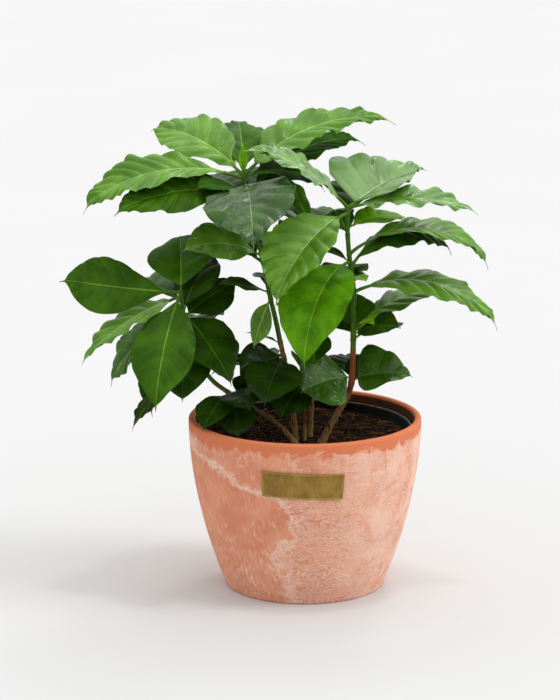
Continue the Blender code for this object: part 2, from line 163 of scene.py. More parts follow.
def new_material(name: str) -> tuple[bpy.types.Material, bpy.types.Node, Adder]:
    """Make a material with a Principled shader.

    Args:
        name: What the real material is.

    Returns:
        The material, its shader node and the function that adds its other nodes.
    """
    material = bpy.data.materials.new(name)
    material.use_nodes = True
    tree = material.node_tree
    return material, tree.nodes["Principled BSDF"], partial(add_node, tree)


def per_metre(size_mm: float) -> float:
    """Scale of a pattern whose blotches are that many mm wide."""
    return 1.0 / (size_mm * MM)


@dataclass(frozen=True)
class LeafFinish:
    """Waxy coffee leaf: soft green flesh under a thin cuticle, dry or wet.

    The flesh is a little darker in broad patches. The cuticle throws wide, soft
    glints that break up on its fine grain, and a leaf that was sprayed carries a
    skin of water in beads, which throws small sharp ones. Real pores and beads are
    under a millimetre wide, so both are drawn as coarse as they need to show.
    """

    name: str
    colour: str
    shade: str
    roughness: float
    coat: float
    specular: float
    specked: bool = False
    rust: str = "#9A4A18"
    patch_mm: float = 17.0
    speck_mm: float = 15.0
    speck_core: float = 0.055
    speck_edge: float = 0.085
    speck_strength: float = 0.75
    pore_mm: float = 3.6
    pucker_mm: float = 10.0
    pucker_share: float = 1.6
    relief_mm: float = 0.30
    bump: float = 0.55
    coat_roughness: float = 0.16
    wet_from: float = 0.5
    wet_pucker_mm: float = 5.0
    wet_relief_mm: float = 0.90
    wet_roughness: float = 0.08

    def build(self) -> bpy.types.Material:
        """Make the material.

        Returns:
            The material.
        """
        material, shader, add = new_material(self.name)
        place = add(Kind.PLACE)
        flesh = add(Kind.NOISE, place, per_metre(self.patch_mm), 3.0)
        colour = add(Kind.BLEND, add(Kind.RANGE, flesh, 0.3, 0.7), linear(self.colour),
                     linear(self.shade))
        if self.specked:
            cells = add(Kind.CELLS, place, per_metre(self.speck_mm))
            speck = add(Kind.RANGE, cells, self.speck_core, self.speck_edge,
                        self.speck_strength, 0.0)
            colour = add(Kind.BLEND, speck, colour, linear(self.rust))
        wet = self.coat > self.wet_from
        pucker_mm = self.wet_pucker_mm if wet else self.pucker_mm
        relief_mm = self.wet_relief_mm if wet else self.relief_mm
        pucker = add(Kind.NOISE, place, per_metre(pucker_mm), 2.0)
        pores = add(Kind.NOISE, place, per_metre(self.pore_mm), 4.0)
        height = add(Kind.MULTIPLY_ADD, pucker, self.pucker_share, pores)
        normal = add(Kind.BUMP, height, relief_mm * MM, self.bump)
        fill_sockets(shader, {
            "Base Color": colour, "Roughness": self.roughness, "Coat Weight": self.coat,
            "Coat Roughness": self.wet_roughness if wet else self.coat_roughness,
            "Specular IOR Level": self.specular, "Normal": normal})
        if wet:
            fill_sockets(shader, {"Coat Normal": normal})
        return material


@dataclass(frozen=True)
class StemFinish:
    """Stem bark: corky and tan at the foot, redder higher up, green where it is young.

    The old bark is dry and split along the stem, so it is rough and takes no glint;
    the young stem keeps its wax and shines a little. The splits are hair-fine in
    life and are drawn wider, so that they show.
    """

    name: str
    green_from: float
    tan: str
    russet: str
    green: str = "#4B7618"
    green_shade: str = "#375A12"
    crack: str = "#4A3220"
    fade: float = 0.016
    russet_from: float = 0.045
    russet_full: float = 0.022
    blotch_mm: float = 7.0
    grain_mm: float = 1.6
    relief_mm: float = 0.22
    bump: float = 0.6
    old_roughness: float = 0.82
    young_roughness: float = 0.45
    specular: float = 0.12

    def build(self) -> bpy.types.Material:
        """Make the material.

        Returns:
            The material.
        """
        material, shader, add = new_material(self.name)
        place = add(Kind.PLACE)
        upright = add(Kind.STRETCH, place, (1.0, 1.0, 0.2))
        grain = add(Kind.NOISE, upright, per_metre(self.grain_mm), 5.0, 0.3)
        blotch = add(Kind.NOISE, place, per_metre(self.blotch_mm), 3.0)
        shifted = add(Kind.MULTIPLY_ADD, blotch, self.fade, add(Kind.HEIGHT, place))
        turn = self.green_from
        young = add(Kind.RANGE, shifted, turn, turn + self.fade)
        redder = add(Kind.RANGE, shifted, turn - self.russet_from, turn - self.russet_full)
        cork = add(Kind.BLEND, redder, linear(self.tan), linear(self.russet))
        bark = add(Kind.BLEND, add(Kind.RANGE, grain, 0.30, 0.50), linear(self.crack), cork)
        sappy = add(Kind.BLEND, add(Kind.RANGE, grain, 0.3, 0.7), linear(self.green_shade),
                    linear(self.green))
        fill_sockets(shader, {
            "Base Color": add(Kind.BLEND, young, bark, sappy),
            "Roughness": add(Kind.RANGE, shifted, turn, turn + self.fade,
                             self.old_roughness, self.young_roughness),
            "Specular IOR Level": self.specular,
            "Normal": add(Kind.BUMP, grain, self.relief_mm * MM, self.bump)})
        return material


@dataclass(frozen=True)
class TerracottaFinish:
    """Fired clay: matt orange body, with lime bloom washed over it where asked. Unwashed, it
    dresses the pot's inside in a dark brown, which is painted shade on the same clay.

    Unglazed clay is rough and takes hardly any glint. Lime that was carried out by
    water dries on it as a thin veil. It gathers in bright threads along the shore
    where the water stood, lies in flat ripples inside it, and was rubbed off in
    upright strokes beside it. The strokes and scratches are finer in life and are
    drawn as wide as they need to show.
    """

    name: str
    washed: bool
    clay: str = "#E39774"
    deep: str = "#D88664"
    warm: str = "#DA7C54"
    bloom: str = "#FBE3D2"
    # The inside's dark browns are the clay painted as it looks in shade.
    inside: str = "#6E3A22"
    inside_shade: str = "#5A2D19"
    roughness: float = 0.86
    specular: float = 0.3
    relief_mm: float = 0.2
    bump: float = 0.4
    sand_mm: float = 6.0
    tone_mm: float = 22.0
    wander_mm: float = 15.0
    wander: float = 0.080
    ripple_mm: float = 10.5
    net_mm: float = 6.0
    thread: float = 0.030
    veil_mm: float = 17.0
    scratch_mm: float = 1.5
    streak_mm: float = 1.9
    spread_mm: float = 16.0
    patch_mm: float = 14.0
    rim_wander: float = 0.034
    rim_low: float = 0.1455
    rim_high: float = 0.1500
    thickest: float = 0.94
    shore_reach: float = 0.095
    shore_mm: tuple[tuple[int, int], ...] = (
        (0, -16), (19, -12), (41, -20), (64, -12), (80, -10), (91, -17),
        (99, -35), (103, -54), (110, -65), (117, -76), (121, -94))

    def build(self) -> bpy.types.Material:
        """Make the material.

        Returns:
            The material.
        """
        material, shader, add = new_material(self.name)
        place = add(Kind.PLACE)
        if self.washed:
            colour, relief = self.washed_colour(add, place)
        else:
            # Unwashed is the inside wall: the clay painted dark brown as painted shade.
            relief = add(Kind.NOISE, place, per_metre(self.sand_mm), 5.0)
            colour = add(Kind.BLEND, add(Kind.RANGE, relief, 0.3, 0.7), linear(self.inside),
                         linear(self.inside_shade))
        fill_sockets(shader, {
            "Base Color": colour, "Roughness": self.roughness,
            "Specular IOR Level": self.specular,
            "Normal": add(Kind.BUMP, relief, self.relief_mm * MM, self.bump)})
        return material

    def washed_colour(self, add: Adder, place: bpy.types.NodeSocket
                      ) -> tuple[bpy.types.NodeSocket, bpy.types.NodeSocket]:
        """Draw the clay, its clean rim band and the lime bloom.

        Args:
            add: Function that adds a node to the material.
            place: Output with the place on the pot.

        Returns:
            The colour's output and the output that serves as relief.
        """
        across, height = add(Kind.ACROSS, place), add(Kind.HEIGHT, place)
        wander = add(Kind.NOISE, place, per_metre(self.wander_mm), 8.0, 0.9, 0.66)
        netted = add(Kind.STRETCH, place, (1.0, 1.0, 1.3))
        net = self.threads(add, add(Kind.NOISE, netted, per_metre(self.net_mm), 7.0, 1.0, 0.56))

        # The shore wanders, with a bright line along it. Where it runs flat, the line
        # is let wider across, so that it stays as thick.
        ragged = add(Kind.MULTIPLY_ADD, wander, self.wander, -0.5 * self.wander)
        ahead = add(Kind.SUBTRACT, add(Kind.ADD, across, ragged), self.shore(add, height))
        washed = add(Kind.RANGE, ahead, -0.001, 0.003)
        flat = add(Kind.RANGE, height, 0.084, 0.098, 1.0, 0.45)
        aside = add(Kind.MULTIPLY, add(Kind.ABSOLUTE, ahead), flat)
        near = add(Kind.RANGE, aside, 0.0010, 0.0072, 1.0, 0.0)
        line = add(Kind.MULTIPLY, near, add(Kind.MULTIPLY_ADD, net, 0.56, 0.38))

        # Flat ripples lie just inside the shore, a mottled veil further in.
        flattened = add(Kind.STRETCH, place, (1.0, 1.0, 3.3))
        rippled = add(Kind.NOISE, flattened, per_metre(self.ripple_mm), 9.0, 2.0, 0.55)
        clouds = add(Kind.RANGE, rippled, 0.44, 0.62, 0.0, 0.28)
        ripples = add(Kind.MAXIMUM, clouds, self.threads(add, rippled))
        drawn = add(Kind.STRETCH, place, (1.0, 1.0, 0.05))
        scratch = add(Kind.RANGE, add(Kind.NOISE, drawn, per_metre(self.scratch_mm), 3.0),
                      0.40, 0.68)
        soft = add(Kind.RANGE, add(Kind.NOISE, place, per_metre(self.veil_mm), 6.0, 0.5),
                   0.36, 0.62, 0.16, 0.46)
        veil = add(Kind.MAXIMUM, add(Kind.MULTIPLY_ADD, scratch, 0.14, soft),
                   add(Kind.MULTIPLY, net, 0.80))
        inland = add(Kind.RANGE, across, 0.012, 0.062)
        body = add(Kind.SHIFT, inland, ripples, veil)

        # Upright strokes of rubbed lime, strongest near the foot.
        brushed = add(Kind.STRETCH, place, (1.0, 1.0, 0.035))
        streaks = add(Kind.RANGE, add(Kind.NOISE, brushed, per_metre(self.streak_mm), 5.0, 0.2),
                      0.46, 0.72)
        spread = add(Kind.RANGE, add(Kind.NOISE, place, per_metre(self.spread_mm), 5.0, 0.4),
                     0.42, 0.62, 0.18, 0.66)
        low_down = add(Kind.RANGE, height, 0.01, 0.085, 1.0, 0.40)
        strokes = add(Kind.MULTIPLY_ADD, scratch, 0.18, add(Kind.MULTIPLY, streaks, spread))
        rubbed = add(Kind.MULTIPLY, strokes, low_down)

        # The shoulder at the left stayed almost bare, with a few patches of net.
        lifted = add(Kind.MULTIPLY_ADD, wander, 0.02, height)
        upper = add(Kind.RANGE, lifted, 0.106, 0.116)
        left = add(Kind.RANGE, across, -0.008, 0.036, 1.0, 0.0)
        far_left = add(Kind.RANGE, across, -0.036, -0.024, 1.0, 0.0)
        bare = add(Kind.MAXIMUM, add(Kind.MULTIPLY, upper, left), far_left)
        kept = add(Kind.MULTIPLY_ADD, bare, -0.82, 1.0)
        patches = add(Kind.RANGE, add(Kind.NOISE, place, per_metre(self.patch_mm), 3.0),
                      0.46, 0.56)
        sparse = add(Kind.MULTIPLY, add(Kind.MULTIPLY, bare, patches),
                     add(Kind.MULTIPLY, net, 0.6))
        sheet = add(Kind.MULTIPLY, washed, add(Kind.MULTIPLY_ADD, body, kept, sparse))
        whole = add(Kind.MAXIMUM, add(Kind.MAXIMUM, sheet, line), rubbed)

        # The band under the rim is clean and warmer than the clay below it.
        rim = add(Kind.MULTIPLY_ADD, wander, self.rim_wander, height)
        below = add(Kind.RANGE, rim, self.rim_low, self.rim_high, 1.0, 0.0)
        tone = add(Kind.RANGE, add(Kind.NOISE, place, per_metre(self.tone_mm), 4.0),
                   0.35, 0.65)
        clay = add(Kind.BLEND, tone, linear(self.clay), linear(self.deep))
        based = add(Kind.BLEND, below, linear(self.warm), clay)
        held = add(Kind.MINIMUM, add(Kind.MULTIPLY, whole, below), self.thickest)
        return add(Kind.BLEND, held, based, linear(self.bloom)), whole

    def shore(self, add: Adder, height: bpy.types.NodeSocket) -> bpy.types.NodeSocket:
        """The course of the bloom's shore.

        Args:
            add: Function that adds a node to the material.
            height: Output with the height on the pot.

        Returns:
            The output with the shore's place across the pot, in metres.
        """
        reach, top = self.shore_reach, self.shore_mm[-1][0] * MM
        ramp = add(Kind.RAMP, add(Kind.EVENLY, height, 0.0, top))
        stops = ramp.node.color_ramp.elements
        while len(stops) < len(self.shore_mm):
            stops.new(1.0)
        for stop, (level, across) in zip(stops, self.shore_mm):
            value = (across * MM + reach) / (2 * reach)
            stop.position = level * MM / top
            stop.color = (value, value, value, 1.0)
        return add(Kind.MULTIPLY_ADD, ramp, 2 * reach, -reach)

    def threads(self, add: Adder, value: bpy.types.NodeSocket) -> bpy.types.NodeSocket:
        """Thin bright lines where a noise passes through its middle.

        Args:
            add: Function that adds a node to the material.
            value: Output of the noise.

        Returns:
            The output, 1 on a line and 0 beside it.
        """
        off = add(Kind.ABSOLUTE, add(Kind.SUBTRACT, value, 0.5))
        return add(Kind.RANGE, off, 0.0, self.thread, 1.0, 0.0)


@dataclass(frozen=True)
class PlainFinish:
    """A plain moulded or natural surface with a little mottling and grain."""

    name: str
    colour: str
    other: str
    roughness: float
    blotch_mm: float
    grain_mm: float
    grain_depth_mm: float = 0.1
    specular: float = 0.1
    bump: float = 0.5

    def build(self) -> bpy.types.Material:
        """Make the material.

        Returns:
            The material.
        """
        material, shader, add = new_material(self.name)
        place = add(Kind.PLACE)
        blotch = add(Kind.RANGE, add(Kind.NOISE, place, per_metre(self.blotch_mm), 4.0),
                     0.32, 0.68)
        grain = add(Kind.NOISE, place, per_metre(self.grain_mm), 4.0)
        fill_sockets(shader, {
            "Base Color": add(Kind.BLEND, blotch, linear(self.colour), linear(self.other)),
            "Roughness": self.roughness, "Specular IOR Level": self.specular,
            "Normal": add(Kind.BUMP, grain, self.grain_depth_mm * MM, self.bump)})
        return material


@dataclass(frozen=True)
class BrassFinish:
    """Antiqued brass: a thin sheet, evenly dulled, with a faint upright brushing.

    The patina lies softly in broad clouds, so the sheet shades from olive to brown
    and takes only a wide, blurred glint. Real brushing is finer than 0.1 mm and is
    drawn 1.1 mm wide, so that it shows.
    """

    name: str
    bright: str
    patina: str
    roughness: float
    duller: float = 0.12
    metallic: float = 0.7
    cloud_mm: float = 16.0
    cloud_share: float = 0.70
    brush_mm: float = 1.1
    relief_mm: float = 0.04
    bump: float = 0.25

    def build(self) -> bpy.types.Material:
        """Make the material.

        Returns:
            The material.
        """
        material, shader, add = new_material(self.name)
        place = add(Kind.PLACE)
        cloud = add(Kind.NOISE, place, per_metre(self.cloud_mm), 3.0, 0.3)
        upright = add(Kind.STRETCH, place, (1.0, 1.0, 0.10))
        brushed = add(Kind.NOISE, upright, per_metre(self.brush_mm), 3.0)
        worn = add(Kind.MULTIPLY_ADD, brushed, 1.0 - self.cloud_share,
                   add(Kind.MULTIPLY, cloud, self.cloud_share))
        fill_sockets(shader, {
            "Base Color": add(Kind.BLEND, add(Kind.RANGE, worn, 0.30, 0.66),
                              linear(self.patina), linear(self.bright)),
            "Metallic": self.metallic,
            "Roughness": add(Kind.RANGE, worn, 0.3, 0.7, self.roughness + self.duller,
                             self.roughness),
            "Normal": add(Kind.BUMP, brushed, self.relief_mm * MM, self.bump)})
        return material


@dataclass(frozen=True)
class Greens:
    """Colours and gloss of one kind of leaf."""

    blade: str
    shade: str
    vein: str
    rib: str
    roughness: float
    coat: float
    specular: float


class Tone(Enum):
    """Kinds of leaf that the plant is dealt, from old and deep to new and light.

    Dewy, wet and dusky leaves carry water, and silver ones lie flat under the window. The tones
    are partly painted light and shade: dim, shaded and deep greens darken leaves that sit low
    or under others, as painted shade, and light, silver and wet greens lighten leaves near the
    top, as painted light and painted sheen.
    """

    # Dim and shaded are darker copies of the greens, as painted shade; light, silver and wet
    # are paler, partly as painted light and painted sheen.
    DIM = Greens("#213C05", "#142703", "#2A480A", "#344F10", 0.42, 0.08, 0.06)
    DEEP = Greens("#2C4D06", "#1C3603", "#385B0B", "#587F20", 0.40, 0.06, 0.06)
    MIDDLE = Greens("#3E6A08", "#2B5004", "#4B7A12", "#789F32", 0.40, 0.05, 0.07)
    SHADED = Greens("#2E5804", "#214402", "#3A640B", "#5E8822", 0.60, 0.0, 0.04)
    DEWY = Greens("#406C10", "#2C5008", "#507E1C", "#648E2E", 0.44, 0.60, 0.16)
    WET = Greens("#6E9E3C", "#4E8024", "#8CB45C", "#A8C872", 0.32, 1.0, 0.28)
    FRESH = Greens("#5C9608", "#3E7204", "#689E14", "#9CC444", 0.40, 0.04, 0.06)
    LIGHT = Greens("#689A28", "#4C7C14", "#86B046", "#A8CA66", 0.36, 0.16, 0.24)
    SILVER = Greens("#739E4E", "#5C8738", "#90B46C", "#B4CE86", 0.32, 0.40, 0.42)
    DUSKY = Greens("#3A621E", "#264610", "#4E7634", "#86A65A", 0.40, 0.60, 0.18)
    LIME = Greens("#7CBA10", "#66A408", "#90C624", "#B8D854", 0.42, 0.05, 0.1)


class BladePart(Enum):
    """Parts of a blade that have a material of their own, by their number."""

    BLADE = 0
    RIB = 1
    VEIN = 2
    UNDER = 3
    UNDER_RIB = 4


@dataclass
class LeafFinishes:
    """The leaf materials, each built when a leaf first asks for it."""

    made: dict[Tone, list[bpy.types.Material]] = field(default_factory=dict)
    under: bpy.types.Material = field(init=False)
    under_rib: bpy.types.Material = field(init=False)
    stalk: bpy.types.Material = field(init=False)

    def __post_init__(self) -> None:
        """Build the materials that all leaves share.

        The underside has a thinner cuticle, so it is paler and takes no glint.
        """
        self.under = LeafFinish("leaf_underside", "#46741A", "#396214", 0.6, 0.0, 0.1).build()
        self.under_rib = LeafFinish("underside_rib", "#86A548", "#73933C", 0.55, 0.0,
                                    0.2).build()
        self.stalk = LeafFinish("leaf_stalk", "#548222", "#42691A", 0.5, 0.0, 0.12).build()

    def of(self, tone: Tone) -> list[bpy.types.Material]:
        """Materials of one kind of leaf.

        Args:
            tone: Kind of leaf.

        Returns:
            Its materials in the order of BladePart.
        """
        if tone not in self.made:
            greens, name = tone.value, tone.name.lower()
            gloss = (greens.roughness, greens.coat, greens.specular)
            self.made[tone] = [
                LeafFinish("waxy_leaf_" + name, greens.blade, greens.shade, *gloss,
                           tone is Tone.FRESH).build(),
                LeafFinish("midrib_" + name, greens.rib, greens.vein, *gloss).build(),
                LeafFinish("side_vein_" + name, greens.vein, greens.blade, *gloss).build(),
                self.under, self.under_rib]
            if tone is Tone.LIME:
                self.made[tone][BladePart.UNDER.value] = self.made[tone][0]
        return self.made[tone]


@dataclass
class Leaf:
    """One leaf: where it joins its stem, its sizes in mm and its angles in degrees.

    It heads away from +X towards +Y. Its pitch lifts the midrib, its bow arches it
    and its droop bends the tip. Its roll tips the blade and its fold closes it. A
    belly over 1 puts the widest place nearer to the tip.
    """

    height: float
    heading: float
    pitch: float
    length: float
    width: float
    bow: float = 40.0
    roll: float = 0.0
    fold: float = 12.0
    belly: float = 1.1
    tone: Tone = Tone.MIDDLE
    wave: float = 1.0
    quilt: float = 1.0
    taper: float = 0.2
    droop: float = 22.0


@dataclass
class Mass:
    """One mass of leaves: the frame's node that it replaces and its leaves."""

    name: str
    leaves: tuple[Leaf, ...]


@dataclass
class Stem:
    """A stem: its centre line and radii in mm, its nodes and its masses.

    It turns green from a height that is in metres, as the finish reads it.
    """

    name: str
    points: tuple[tuple[float, float, float], ...]
    foot_radius: float
    tip_radius: float
    green_from: float
    limbs: tuple[str, ...]
    masses: tuple[Mass, ...]
    tan: str = "#A98550"
    russet: str = "#8E6C3E"


STEM_LEFT = Stem(
    name="left",
    points=((-3, -5, 112), (-21, -8, 134), (-43, -11, 150), (-62, -14, 163),
            (-77, -16, 176), (-90, -18, 198), (-97, -19, 225), (-100, -19, 249)),
    foot_radius=2.1,
    tip_radius=1.45,
    green_from=0.168,
    limbs=("stem_left", "bough_left"),
    masses=(
        Mass("foliage_left_low", (
            Leaf(163, -69, -3, 52, 36, roll=10, tone=Tone.DIM, taper=0.0),
            Leaf(162, -115, -21, 55, 30, roll=-8, tone=Tone.DEEP),
            Leaf(160, -85, -34, 46, 34, 30, tone=Tone.DIM, taper=0.0),
            Leaf(160, 58, 2, 55, 34, tone=Tone.DEEP),
        )),
        Mass("foliage_left_top", (
            Leaf(246, 92, 38, 65, 56, roll=-12),
            Leaf(230, 56, 44, 62, 44, tone=Tone.DEEP),
            Leaf(247, -173, 8, 98, 48, -8, -62, 6, 1.5, Tone.MIDDLE, 0.6, 0.8, 0.0),
            Leaf(244, -161, -30, 100, 36, 30, -10, belly=0.72, tone=Tone.LIGHT, quilt=1.6),
            Leaf(230, 155, -44, 98, 52, roll=-36, belly=1.4),
            Leaf(247, -106, -50, 110, 52, 44, -4, 8, wave=0.6, quilt=0.5),
            Leaf(224, 137, -65, 98, 44, roll=-10, tone=Tone.LIGHT),
            Leaf(211, 165, -58, 96, 26, -10, -40, tone=Tone.DEEP),
            Leaf(231, -43, -43, 76, 56, 16, 6, belly=0.7, tone=Tone.DEEP, quilt=0.5),
            Leaf(220, -95, -64, 64, 50, 20, 12, tone=Tone.DEEP),
            Leaf(227, 40, 22, 60, 40, 14, 34, belly=0.9, tone=Tone.DEEP),
            Leaf(238, 128, -2, 88, 46, 50, -10),
            Leaf(213, 84, -8, 98, 46, 50),
            Leaf(206, 110, -26, 92, 44, 40),
        )),
    ),
)

STEM_TALL = Stem(
    name="tall",
    points=((-7, 6, 112), (-10, 5, 150), (-12, 4, 169), (-16, 3, 183),
            (-20, 2, 201), (-24, 1, 221), (-28, 0, 238), (-35, 0, 273),
            (-43, 0, 302), (-50, 0, 340)),
    foot_radius=2.3,
    tip_radius=1.6,
    green_from=0.203,
    limbs=("stem_tall", "bough_tall_low", "bough_tall_high"),
    masses=(
        Mass("foliage_tall_low", (
            Leaf(201, -142, 21, 38, 14, 10, tone=Tone.DEEP),
            Leaf(190, -138, -15, 50, 38, 30, -56, belly=1.0, tone=Tone.DIM, taper=0.0),
            Leaf(188, -104, -21, 70, 48, roll=-10, tone=Tone.DIM, taper=0.0),
            Leaf(190, 126, -18, 80, 42, 30, tone=Tone.DEEP),
            Leaf(187, 160, -16, 70, 36, 30, tone=Tone.DEEP),
        )),
        Mass("foliage_tall_middle", (
            Leaf(273, -159, 8, 71, 50, 50, -28, tone=Tone.LIGHT),
            Leaf(243, -143, 15, 53, 22, 20, -20, tone=Tone.DEEP),
            Leaf(238, -112, -42, 50, 20, 20, -50, tone=Tone.LIGHT),
            Leaf(270, 86, -4, 100, 44, 50),
            Leaf(267, 128, -4, 100, 46, 50),
            Leaf(243, 82, -10, 98, 44, 50),
        )),
        Mass("foliage_tall_top", (
            Leaf(338, 142, 17, 105, 54, 46, -24, tone=Tone.LIGHT, quilt=1.8, taper=0.05),
            Leaf(338, 94, 27, 80, 42, 45, 4, taper=0.0),
            Leaf(336, -172, -10, 141, 48, 64, -24, 14, 1.3, Tone.LIGHT, 1.2, 1.8, 0.1),
            Leaf(322, -143, 13, 53, 34, 40, -15, tone=Tone.SHADED),
            Leaf(323, -159, -4, 116, 49, 40, -34, 10, quilt=1.7),
            Leaf(330, -85, -22, 101, 76, 70, 13, 10, 0.9, Tone.DUSKY, 1.2, 1.9),
            Leaf(337, 12, -11, 74, 46, 70, 14, tone=Tone.SHADED),
            Leaf(338, 23, 15, 148, 46, 60, 18, belly=0.6, tone=Tone.LIGHT, wave=1.2, quilt=1.9),
            Leaf(321, 40, 14, 139, 42, 60, 14, belly=0.85, tone=Tone.SHADED),
            Leaf(319, 68, 2, 105, 48, 50),
            Leaf(319, 118, -2, 108, 50, 50),
            Leaf(339, -80, 85, 26, 9, 4, 0, 34, 0.9, Tone.LIME, 0.5),
            Leaf(339, 100, 85, 25, 9, 4, 0, 34, 0.9, Tone.LIME, 0.5),
        )),
    ),
)

STEM_RIGHT = Stem(
    name="right",
    points=((11, -1, 112), (24, -3, 139), (33, -5, 155), (38, -5, 172),
            (39, -5, 205), (39, -5, 243), (36, -5, 269), (34, -5, 291),
            (34, -5, 315)),
    foot_radius=2.7,
    tip_radius=1.7,
    green_from=0.196,
    limbs=("stem_right", "bough_right_low", "bough_right_middle", "bough_right_high"),
    masses=(
        Mass("foliage_right_foot", (
            Leaf(172, -8, 5, 51, 56, 30, 34, 26, 0.5, Tone.DEWY, 1.6, 1.4, 0.0),
            Leaf(170, 60, 30, 36, 26, 20, belly=1.0, tone=Tone.DEEP, taper=0.0),
            Leaf(174, -152, -9, 50, 58, 30, -46, 18, 1.0, Tone.DEWY, 1.8, 1.4, 0.0),
            Leaf(170, 94, 5, 70, 32, 40, tone=Tone.DEEP),
            Leaf(169, 60, -2, 76, 42, 40, tone=Tone.DEEP),
        )),
        Mass("foliage_right_low", (
            Leaf(211, 26, 18, 95, 36, 52, 6, 2, tone=Tone.LIGHT),
            Leaf(210, 83, 42, 42, 34, 20),
            Leaf(209, 125, 21, 36, 26, 20, -10, tone=Tone.DEEP),
            Leaf(209, -40, 15, 51, 30, 40, 34, tone=Tone.DEEP),
            Leaf(216, -22, 5, 42, 13, 60, 30, tone=Tone.LIME),
            Leaf(205, 55, -2, 75, 34, 40),
        )),
        Mass("foliage_right_middle", (
            Leaf(269, -116, -39, 124, 62, 88, -6, 20, 1.05, Tone.FRESH, 0.8, 0.5),
            Leaf(269, 162, 20, 36, 16, 30, -10, tone=Tone.DEEP),
            Leaf(275, -2, -5, 131, 52, 100, 6, 12, 1.3, Tone.LIGHT, 0.8, 1.4),
            Leaf(263, 12, 6, 106, 46, 124, 6, -8, 1.0, Tone.MIDDLE),
            Leaf(244, -6, -13, 134, 46, 84, 14, 2, 0.92, Tone.LIGHT, 0.9, 1.7),
            Leaf(257, -64, 2, 26, 14, 20, 10, tone=Tone.LIME),
            Leaf(262, 98, -24, 100, 48, 50),
            Leaf(250, 178, 0, 60, 32, 40, tone=Tone.FRESH),
            Leaf(247, 102, -12, 96, 44, 50),
        )),
        Mass("foliage_right_top", (
            Leaf(313, -158, 31, 107, 36, 40, -24, 10, 0.95, Tone.WET, 1.2, 1.8),
            Leaf(313, 50, 11, 106, 94, 20, 12, 34, 0.33, Tone.SILVER, quilt=1.4),
            Leaf(313, -5, -1, 108, 34, 40, 16, belly=0.85, tone=Tone.WET, wave=1.3, quilt=1.6),
            Leaf(297, 40, 1, 66, 36, 30, 10, tone=Tone.LIME),
            Leaf(309, -128, -32, 117, 64, 52, -12, 28, 1.2, Tone.LIGHT, 1.2, 1.8),
            Leaf(291, 111, 26, 37, 24, 30, -10),
            Leaf(306, 80, 4, 105, 50, 50),
        )),
    ),
    tan="#A07A50",
    russet="#8C4E2A",
)

STEM_BACK = Stem(
    name="back",
    points=((4, 13, 112), (6, 15, 148), (8, 18, 184), (9, 19, 233),
            (9, 19, 262), (5, 19, 292)),
    foot_radius=1.9,
    tip_radius=1.35,
    green_from=0.205,
    limbs=("stem_back", "bough_back"),
    masses=(
        Mass("foliage_back_low", (
            Leaf(208, -92, -24, 50, 28, 36, tone=Tone.DEEP),
            Leaf(205, 100, 0, 96, 46, 50),
            Leaf(202, 64, -8, 88, 42, 50),
        )),
        Mass("foliage_back_top", (
            Leaf(289, 120, 42, 60, 17, 30, tone=Tone.FRESH),
            Leaf(289, -136, 11, 41, 26, 20, -20, tone=Tone.DEEP),
            Leaf(290, -160, 38, 30, 22, 20, -10, tone=Tone.SILVER),
            Leaf(284, 74, 6, 84, 46, 40),
            Leaf(288, 132, 6, 108, 50, 50),
            Leaf(279, 98, -8, 100, 48, 50),
        )),
    ),
)

STEM_INNER = Stem(
    name="inner",
    points=((0, 3, 112), (0, 4, 140), (-1, 3, 165), (-3, 2, 179)),
    foot_radius=1.3,
    tip_radius=1.1,
    green_from=0.172,
    limbs=("stem_inner",),
    masses=(
        Mass("foliage_inner", (
            Leaf(168, -114, -24, 50, 36, 20, -10, tone=Tone.DIM, taper=0.0),
            Leaf(177, -130, 58, 24, 18, 20, -20, tone=Tone.DIM),
        )),
    ),
)

STEMS = (STEM_LEFT, STEM_TALL, STEM_RIGHT, STEM_BACK, STEM_INNER)


def finish_piece(name: str, shape: bmesh.types.BMesh, materials: list[bpy.types.Material],
                 nodes: tuple[str, ...] = ()) -> bpy.types.Object:
    """Turn a bmesh into a smooth piece that rides with the pot.

    Args:
        name: Name of the piece.
        shape: Closed mesh with its place in it; it is freed.
        materials: Materials in the order of the faces' indices.
        nodes: Nodes of the frame that the piece replaces.

    Returns:
        The piece.
    """
    for face in shape.faces:
        face.smooth = True
    mesh = bpy.data.meshes.new(name)
    shape.to_mesh(mesh)
    shape.free()
    for material in materials:
        mesh.materials.append(material)
    piece = bpy.data.objects.new(name, mesh)
    bpy.context.scene.collection.objects.link(piece)
    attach(piece, "root")
    if nodes:
        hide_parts(*nodes)
    log.info("%s: %d faces", name, len(mesh.polygons))
    return piece


def join_shape(whole: bmesh.types.BMesh, part: bmesh.types.BMesh) -> None:
    """Add one bmesh to another and free it.

    Args:
        whole: Shape that grows.
        part: Shape that is added; it is freed.
    """
    mesh = bpy.data.meshes.new("joined")
    part.to_mesh(mesh)
    part.free()
    whole.from_mesh(mesh)
    bpy.data.meshes.remove(mesh)


def turned_shape(profile: list[tuple[float, float]], steps: int) -> bmesh.types.BMesh:
    """Turn a profile round the Z axis into a closed shape.

    Args:
        profile: Radius and height of each point, from axis to axis.
        steps: Steps in the full turn.

    Returns:
        The shape, with its faces looking out.
    """
    shape = bmesh.new()
    points = [shape.verts.new((radius, 0.0, height)) for radius, height in profile]
    edges = [shape.edges.new(pair) for pair in zip(points[:-1], points[1:])]
    bmesh.ops.spin(shape, geom=points + edges, cent=(0, 0, 0), axis=(0, 0, 1),
                   dvec=(0, 0, 0), angle=math.tau, steps=steps, use_merge=True,
                   use_duplicate=False)
    bmesh.ops.remove_doubles(shape, verts=shape.verts, dist=0.01 * MM)
    bmesh.ops.recalc_face_normals(shape, faces=shape.faces)
    return shape


